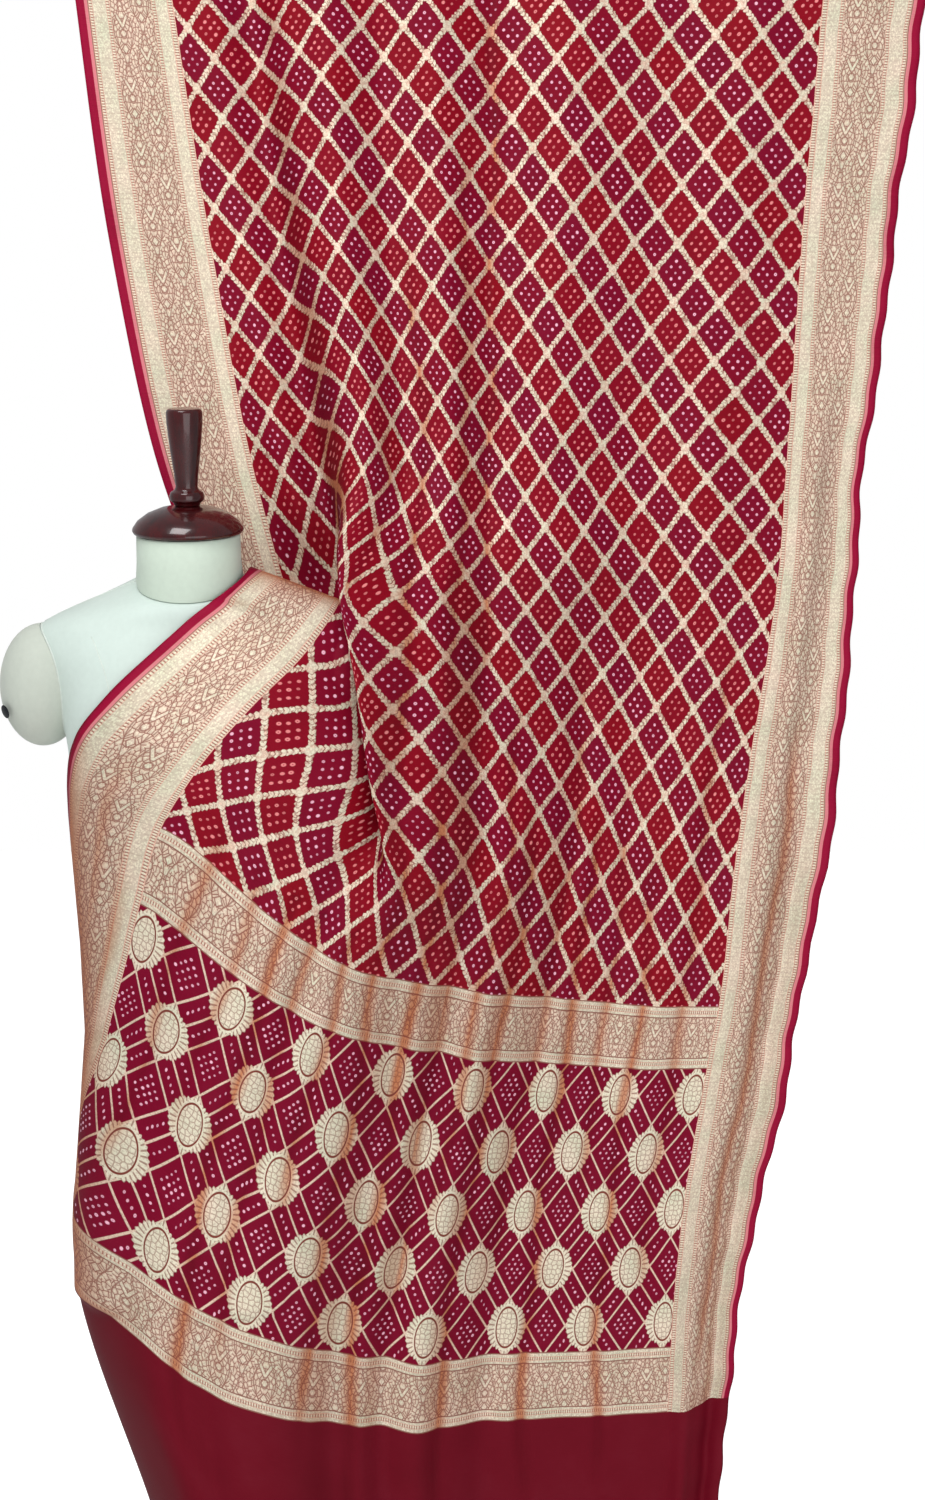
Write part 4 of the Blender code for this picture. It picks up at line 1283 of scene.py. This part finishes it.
def stretch_of(across, along):
    """Which finish a face takes, from its place on the flat cloth in shares."""
    across, along = across * SAREE_WIDTH, along * SAREE_LENGTH
    if along < END_DEPTH:
        return PLAIN_END
    if min(across, SAREE_WIDTH - across) < BORDER_WIDTH:
        return BORDER
    if along < LOWER_BAND[1] or UPPER_BAND[0] < along < UPPER_BAND[1]:
        return BAND
    return PANEL if along < UPPER_BAND[0] else FIELD


# --- Dress form ---
def section_rings(sections):
    """The construction's sections as rings for stack_rings."""
    return [(wide, deep * math.hypot(1.0, tilt), middle, height + tilt * middle, tilt)
            for height, wide, deep, middle, tilt in sections]


class SewCover(bpy.types.Operator):
    """Model the padded body, the neck and the two arm stumps in their cotton cover"""

    bl_idname = "saree.sew_cover"
    bl_label = "Sew the form's cover"

    def execute(self, context):
        looks = context.scene.form_looks
        cover = cotton_finish(looks, "pale_cotton", looks.cover, 0.22)
        body = stack_rings(section_rings(FORM_SECTIONS), BODY_SIDES)
        apply_modifier(body, "SUBSURF", levels=2, render_levels=2)
        shade_round(body, COVER_ANGLE)
        finish_piece(body, "form_body_cover", cover, "form_cover", "form_torso")
        # Arm stumps: darker cotton as painted shade.
        sleeve = cotton_finish(looks, "arm_cotton_painted_shade", looks.arm, 0.26)
        for side, word in SIDES:
            self.stump(body, side, word, sleeve)
        neck = stack_rings(section_rings(NECK_SECTIONS), looks.sides)
        shade_round(neck, COVER_ANGLE)
        # Neck: darker, greener cotton as painted shade.
        shaded = cotton_finish(looks, "neck_cotton_painted_shade", looks.neck, 0.26)
        finish_piece(neck, "form_neck_cover", shaded, "form_cover", "form_neck")
        return {"FINISHED"}

    def stump(self, body, side, word, cover):
        """Oval arm stump, cut to the body a seam's width away."""
        only(body)
        bpy.ops.object.duplicate()
        cutter = bpy.context.object
        edit_all(cutter)
        bpy.ops.transform.shrink_fatten(value=ARM_GAP)
        bpy.ops.object.mode_set(mode="OBJECT")
        pick_none()
        bpy.ops.mesh.primitive_uv_sphere_add(
            segments=STUMP_SIDES, ring_count=STUMP_SIDES // 2, radius=1.0,
            rotation=(0.0, math.pi / 2, 0.0),
            location=(side * ARM_CENTRE.x, ARM_CENTRE.y, ARM_CENTRE.z))
        stump = bpy.context.object
        stump.scale = (ARM_RADII.z, ARM_RADII.y, ARM_RADII.x)
        bpy.ops.object.transform_apply(location=True, rotation=True, scale=True)
        apply_modifier(stump, "BOOLEAN", object=cutter, operation="DIFFERENCE", solver="EXACT")
        bpy.data.objects.remove(cutter, do_unlink=True)
        shade_round(stump, HARD_ANGLE)
        finish_piece(stump, "arm_stump_cover_" + word, cover, "form_cover", "arm_stump_" + word)


def seam_line(side, start, end, steps, bow=0.0):
    """Points beside a seam, from start to end on one side, drawn in by bow between them."""
    points = []
    for k in range(steps + 1):
        x, y, z = (first + (last - first) * k / steps for first, last in zip(start, end))
        points.append((side * (x - bow * math.sin(math.pi * (k / steps) ** 0.8)), y, z))
    return points


def on_body(body, near, lift):
    """Nearest place on the body's cover, lifted a little off it."""
    found, place, normal, index = body.closest_point_on_mesh(near)
    if not found:
        raise RuntimeError("a seam has no body under it")
    return place + normal * lift


class SewSeams(bpy.types.Operator):
    """Lay the seam tapes: armholes, shoulders, princess lines, sides and centre back"""

    bl_idname = "saree.sew_seams"
    bl_label = "Sew the seams"

    def execute(self, context):
        looks = context.scene.form_looks
        body = bpy.data.objects["form_body_cover"]
        piping = cotton_finish(looks, "seam_piping", looks.piping, 0.5)
        radius = looks.piping_radius
        seam_lines = []
        for side, word in SIDES:
            armhole = [self.armhole(body, side, math.tau * k / ARMHOLE_STEPS, radius)
                       for k in range(ARMHOLE_STEPS)]
            tape = seam_tape(armhole, radius, True)
            finish_piece(tape, "armhole_tape_" + word, piping, "form_cover")
            seam_lines += [
                ("shoulder_seam_" + word, (side, (0.060, 0.004, 1.42), (0.160, 0.004, 1.358), 14)),
                *[(f"princess_seam_{name}_{word}",
                   (side, (0.118, y, 1.372), (0.118, y, 0.632), 60, PRINCESS_BOW))
                  for name, y in (("front", -0.12), ("back", 0.12))],
                ("side_seam_" + word, (side, (0.2, 0.0, 1.215), (0.2, 0.0, 0.635), 48)),
            ]
        seam_lines.append(("centre_back_seam", (1.0, (0.0, 0.14, 1.405), (0.0, 0.14, 0.635), 60)))
        for name, line in seam_lines:
            points = [on_body(body, place, radius * TAPE_SINK) for place in seam_line(*line)]
            tape = seam_tape(points, radius * THIN_TAPE, False)
            finish_piece(tape, name, piping, "form_cover")
        return {"FINISHED"}

    def armhole(self, body, side, turn, radius):
        """Where the stump's oval meets the body, at one turn around the arm."""
        inner, outer = 0.02, ARM_CENTRE.x + ARM_RADII.x
        for step in range(24):
            x = (inner + outer) / 2
            along_arm = max(-1.0, min(1.0, (x - ARM_CENTRE.x) / ARM_RADII.x))
            ring = math.sqrt(1.0 - along_arm * along_arm)
            point = Vector((side * x, ARM_RADII.y * ring * math.cos(turn),
                            ARM_CENTRE.z + ARM_RADII.z * ring * math.sin(turn)))
            found, place, normal, index = body.closest_point_on_mesh(point)
            if (point - place).dot(normal) > 0.0:
                outer = x
            else:
                inner = x
        return point + Vector((side * radius * 0.2, 0.0, 0.0))


class TurnWood(bpy.types.Operator):
    """Turn the neck cap and its handle in dark wood, leaning with the neck"""

    bl_idname = "saree.turn_wood"
    bl_label = "Turn the cap and handle"

    def execute(self, context):
        looks = context.scene.form_looks
        wood = wood_finish(looks)
        lean = Vector((0.0, -math.sin(NECK_TILT), math.cos(NECK_TILT)))
        foot = Vector((0.0, 0.0, NECK_BOTTOM))
        for name, node, profile, height in (
                ("turned_neck_cap", "neck_cap", CAP_PROFILE, NECK_LENGTH + TOUCH_GAP),
                ("turned_handle", "cap_handle", HANDLE_PROFILE,
                 NECK_LENGTH + CAP_PROFILE[0][1] + 2 * TOUCH_GAP)):
            piece = turn_piece(profile, looks.sides)
            piece.location = foot + lean * height
            piece.rotation_euler.x = NECK_TILT
            finish_piece(piece, name, wood, "turned_wood", node)
        return {"FINISHED"}


class FitBolt(bpy.types.Operator):
    """Fit the black bolt head with its socket on the bare arm stump"""

    bl_idname = "saree.fit_bolt"
    bl_label = "Fit the arm bolt"

    def execute(self, context):
        looks = context.scene.form_looks
        outward = Vector([BOLT_PLACE[k] / ARM_RADII[k] for k in range(3)]).normalized()
        surface = Vector([BOLT_PLACE[k] * ARM_RADII[k] for k in range(3)])
        surface += Vector((-ARM_CENTRE.x, ARM_CENTRE.y, ARM_CENTRE.z))
        pick_none()
        bpy.ops.mesh.primitive_cylinder_add(vertices=48, radius=BOLT_RADIUS, depth=BOLT_LENGTH)
        bolt = bpy.context.object
        bpy.ops.object.mode_set(mode="EDIT")
        select_top(bolt, 0.0005)
        # A raised rim, then its flat top, then the socket: shares of the radius and length.
        for inwards, rise in ((0.22, 0.10), (0.22, 0.0), (0.04, -0.55)):
            bpy.ops.mesh.inset(thickness=BOLT_RADIUS * inwards, depth=BOLT_LENGTH * rise)
        bpy.ops.object.mode_set(mode="OBJECT")
        soften_edges(bolt, BOLT_ROUNDING, 35)
        bolt.rotation_euler = outward.to_track_quat("Z", "Y").to_euler()
        bolt.location = surface + outward * (BOLT_LENGTH / 2 + BOLT_CLEAR)
        black = metal_finish("blackened_steel", looks.black, 0.22)
        finish_piece(bolt, "arm_bolt_head", black, "blackened_steel", "arm_bolt")
        return {"FINISHED"}


class BuildStand(bpy.types.Operator):
    """Turn the weighted base and the collar, and set the steel pole between them"""

    bl_idname = "saree.build_stand"
    bl_label = "Build the stand"

    def execute(self, context):
        looks = context.scene.form_looks
        wood = bpy.data.materials["dark_polished_wood"]
        steel = metal_finish("bright_steel", looks.steel, 0.18)
        base = turn_piece(BASE_PROFILE, looks.sides)
        finish_piece(base, "turned_base", wood, "turned_wood", "stand_base")
        top = FORM_BOTTOM - TOUCH_GAP
        collar = turn_piece(COLLAR_PROFILE, looks.sides)
        collar.location.z = top - COLLAR_HEIGHT
        finish_piece(collar, "turned_collar", wood, "turned_wood", "pole_collar")
        foot = BASE_HEIGHT + TOUCH_GAP
        head = top - COLLAR_HEIGHT - TOUCH_GAP
        pole = turn_piece(((0.0, head), (POLE_RADIUS, head), (POLE_RADIUS, foot), (0.0, foot)),
                          looks.sides)
        finish_piece(pole, "steel_pole", steel, "steel", "stand_pole")
        return {"FINISHED"}


class SetStage(bpy.types.Operator):
    """Lay the floor, hang soft lights and set the camera"""

    bl_idname = "saree.set_stage"
    bl_label = "Set the stage"

    def execute(self, context):
        setup = context.scene.stage_setup
        pick_none()
        bpy.ops.mesh.primitive_plane_add(size=setup.floor_size, location=FLOOR_MIDDLE)
        floor = context.object
        floor.name = "studio_floor"
        bpy.ops.object.transform_apply(location=True)
        material, tree, shader = new_finish("pale_floor", setup.floor, Roughness=0.9,
                                            Specular_IOR_Level=0.1)
        clouds = cloudy(tree, place_of(tree, *object_place(tree)), 1.2, 2.0)
        feed(tree, tint(clouds * 0.12, setup.floor, (0.86, 0.87, 0.88)),
             shader.inputs["Base Color"])
        shader.inputs["Emission Color"].default_value = (1.0, 1.0, 1.0, 1.0)
        seen = tree.nodes.new("ShaderNodeLightPath")
        feed(tree, Measure(tree, seen.outputs["Is Camera Ray"]) * 0.8,
             shader.inputs["Emission Strength"])
        floor.data.materials.append(material)
        self.world(context, setup.room)
        self.light("key_light", *KEY_LIGHT, setup.key_power)
        self.light("fill_light", *FILL_LIGHT, setup.fill_power)
        bpy.ops.object.camera_add(location=setup.camera_place,
                                  rotation=(math.pi / 2 - setup.camera_dip, 0.0, 0.0))
        camera = context.object
        camera.name = "studio_camera"
        camera.data.lens = setup.camera_lens
        camera.data.sensor_width = SENSOR_WIDTH
        camera.data.clip_end = VIEW_DEPTH
        context.scene.camera = camera
        context.scene.view_settings.view_transform = "Standard"
        return {"FINISHED"}

    def world(self, context, room):
        """White all round for the camera, and a softer white as light."""
        world = bpy.data.worlds.new("white_studio")
        world.use_nodes = True
        context.scene.world = world
        tree = world.node_tree
        seen = tree.nodes.new("ShaderNodeBackground")
        seen.inputs["Color"].default_value = (1.0, 1.0, 1.0, 1.0)
        light = tree.nodes["Background"]
        light.inputs["Color"].default_value = (0.96, 0.98, 1.0, 1.0)
        light.inputs["Strength"].default_value = room
        path = tree.nodes.new("ShaderNodeLightPath")
        choose = tree.nodes.new("ShaderNodeMixShader")
        tree.links.new(path.outputs["Is Camera Ray"], choose.inputs[0])
        tree.links.new(light.outputs[0], choose.inputs[1])
        tree.links.new(seen.outputs[0], choose.inputs[2])
        tree.links.new(choose.outputs[0], tree.nodes["World Output"].inputs["Surface"])

    def light(self, name, place, aim, size, power):
        direction = Vector(aim) - Vector(place)
        bpy.ops.object.light_add(type="AREA", location=place,
                                 rotation=direction.to_track_quat("-Z", "Y").to_euler())
        lamp = bpy.context.object
        lamp.name = name
        lamp.data.size = size
        lamp.data.energy = power


class SareePanel(bpy.types.Panel):
    """Sizes, colours and the steps that build the piece"""

    bl_idname = "VIEW3D_PT_saree"
    bl_label = "Bandhani saree"
    bl_space_type = "VIEW_3D"
    bl_region_type = "UI"
    bl_category = "Saree"

    def draw(self, context):
        layout = self.layout
        for step in STEPS:
            layout.operator(step.bl_idname)
        for settings in ("saree_sizes", "saree_colours", "form_looks", "stage_setup"):
            box = layout.box()
            chosen = getattr(context.scene, settings)
            for key in chosen.__annotations__:
                box.prop(chosen, key)


STEPS = (SetStage, DrapeSaree, SewCover, SewSeams, TurnWood, FitBolt, BuildStand)
SETTINGS = (("saree_sizes", SareeSizes), ("saree_colours", SareeColours),
            ("form_looks", FormLooks), ("stage_setup", StageSetup))


def register():
    for name, settings in SETTINGS:
        bpy.utils.register_class(settings)
        setattr(bpy.types.Scene, name, PointerProperty(type=settings))
    for kind in STEPS + (SareePanel,):
        bpy.utils.register_class(kind)


def unregister():
    for kind in (SareePanel,) + STEPS[::-1]:
        bpy.utils.unregister_class(kind)
    for name, settings in SETTINGS[::-1]:
        delattr(bpy.types.Scene, name)
        bpy.utils.unregister_class(settings)


def main():
    register()
    bpy.ops.saree.set_stage()
    bpy.ops.saree.drape()
    bpy.ops.saree.sew_cover()
    bpy.ops.saree.sew_seams()
    bpy.ops.saree.turn_wood()
    bpy.ops.saree.fit_bolt()
    bpy.ops.saree.build_stand()


if __name__ == "__main__":
    main()
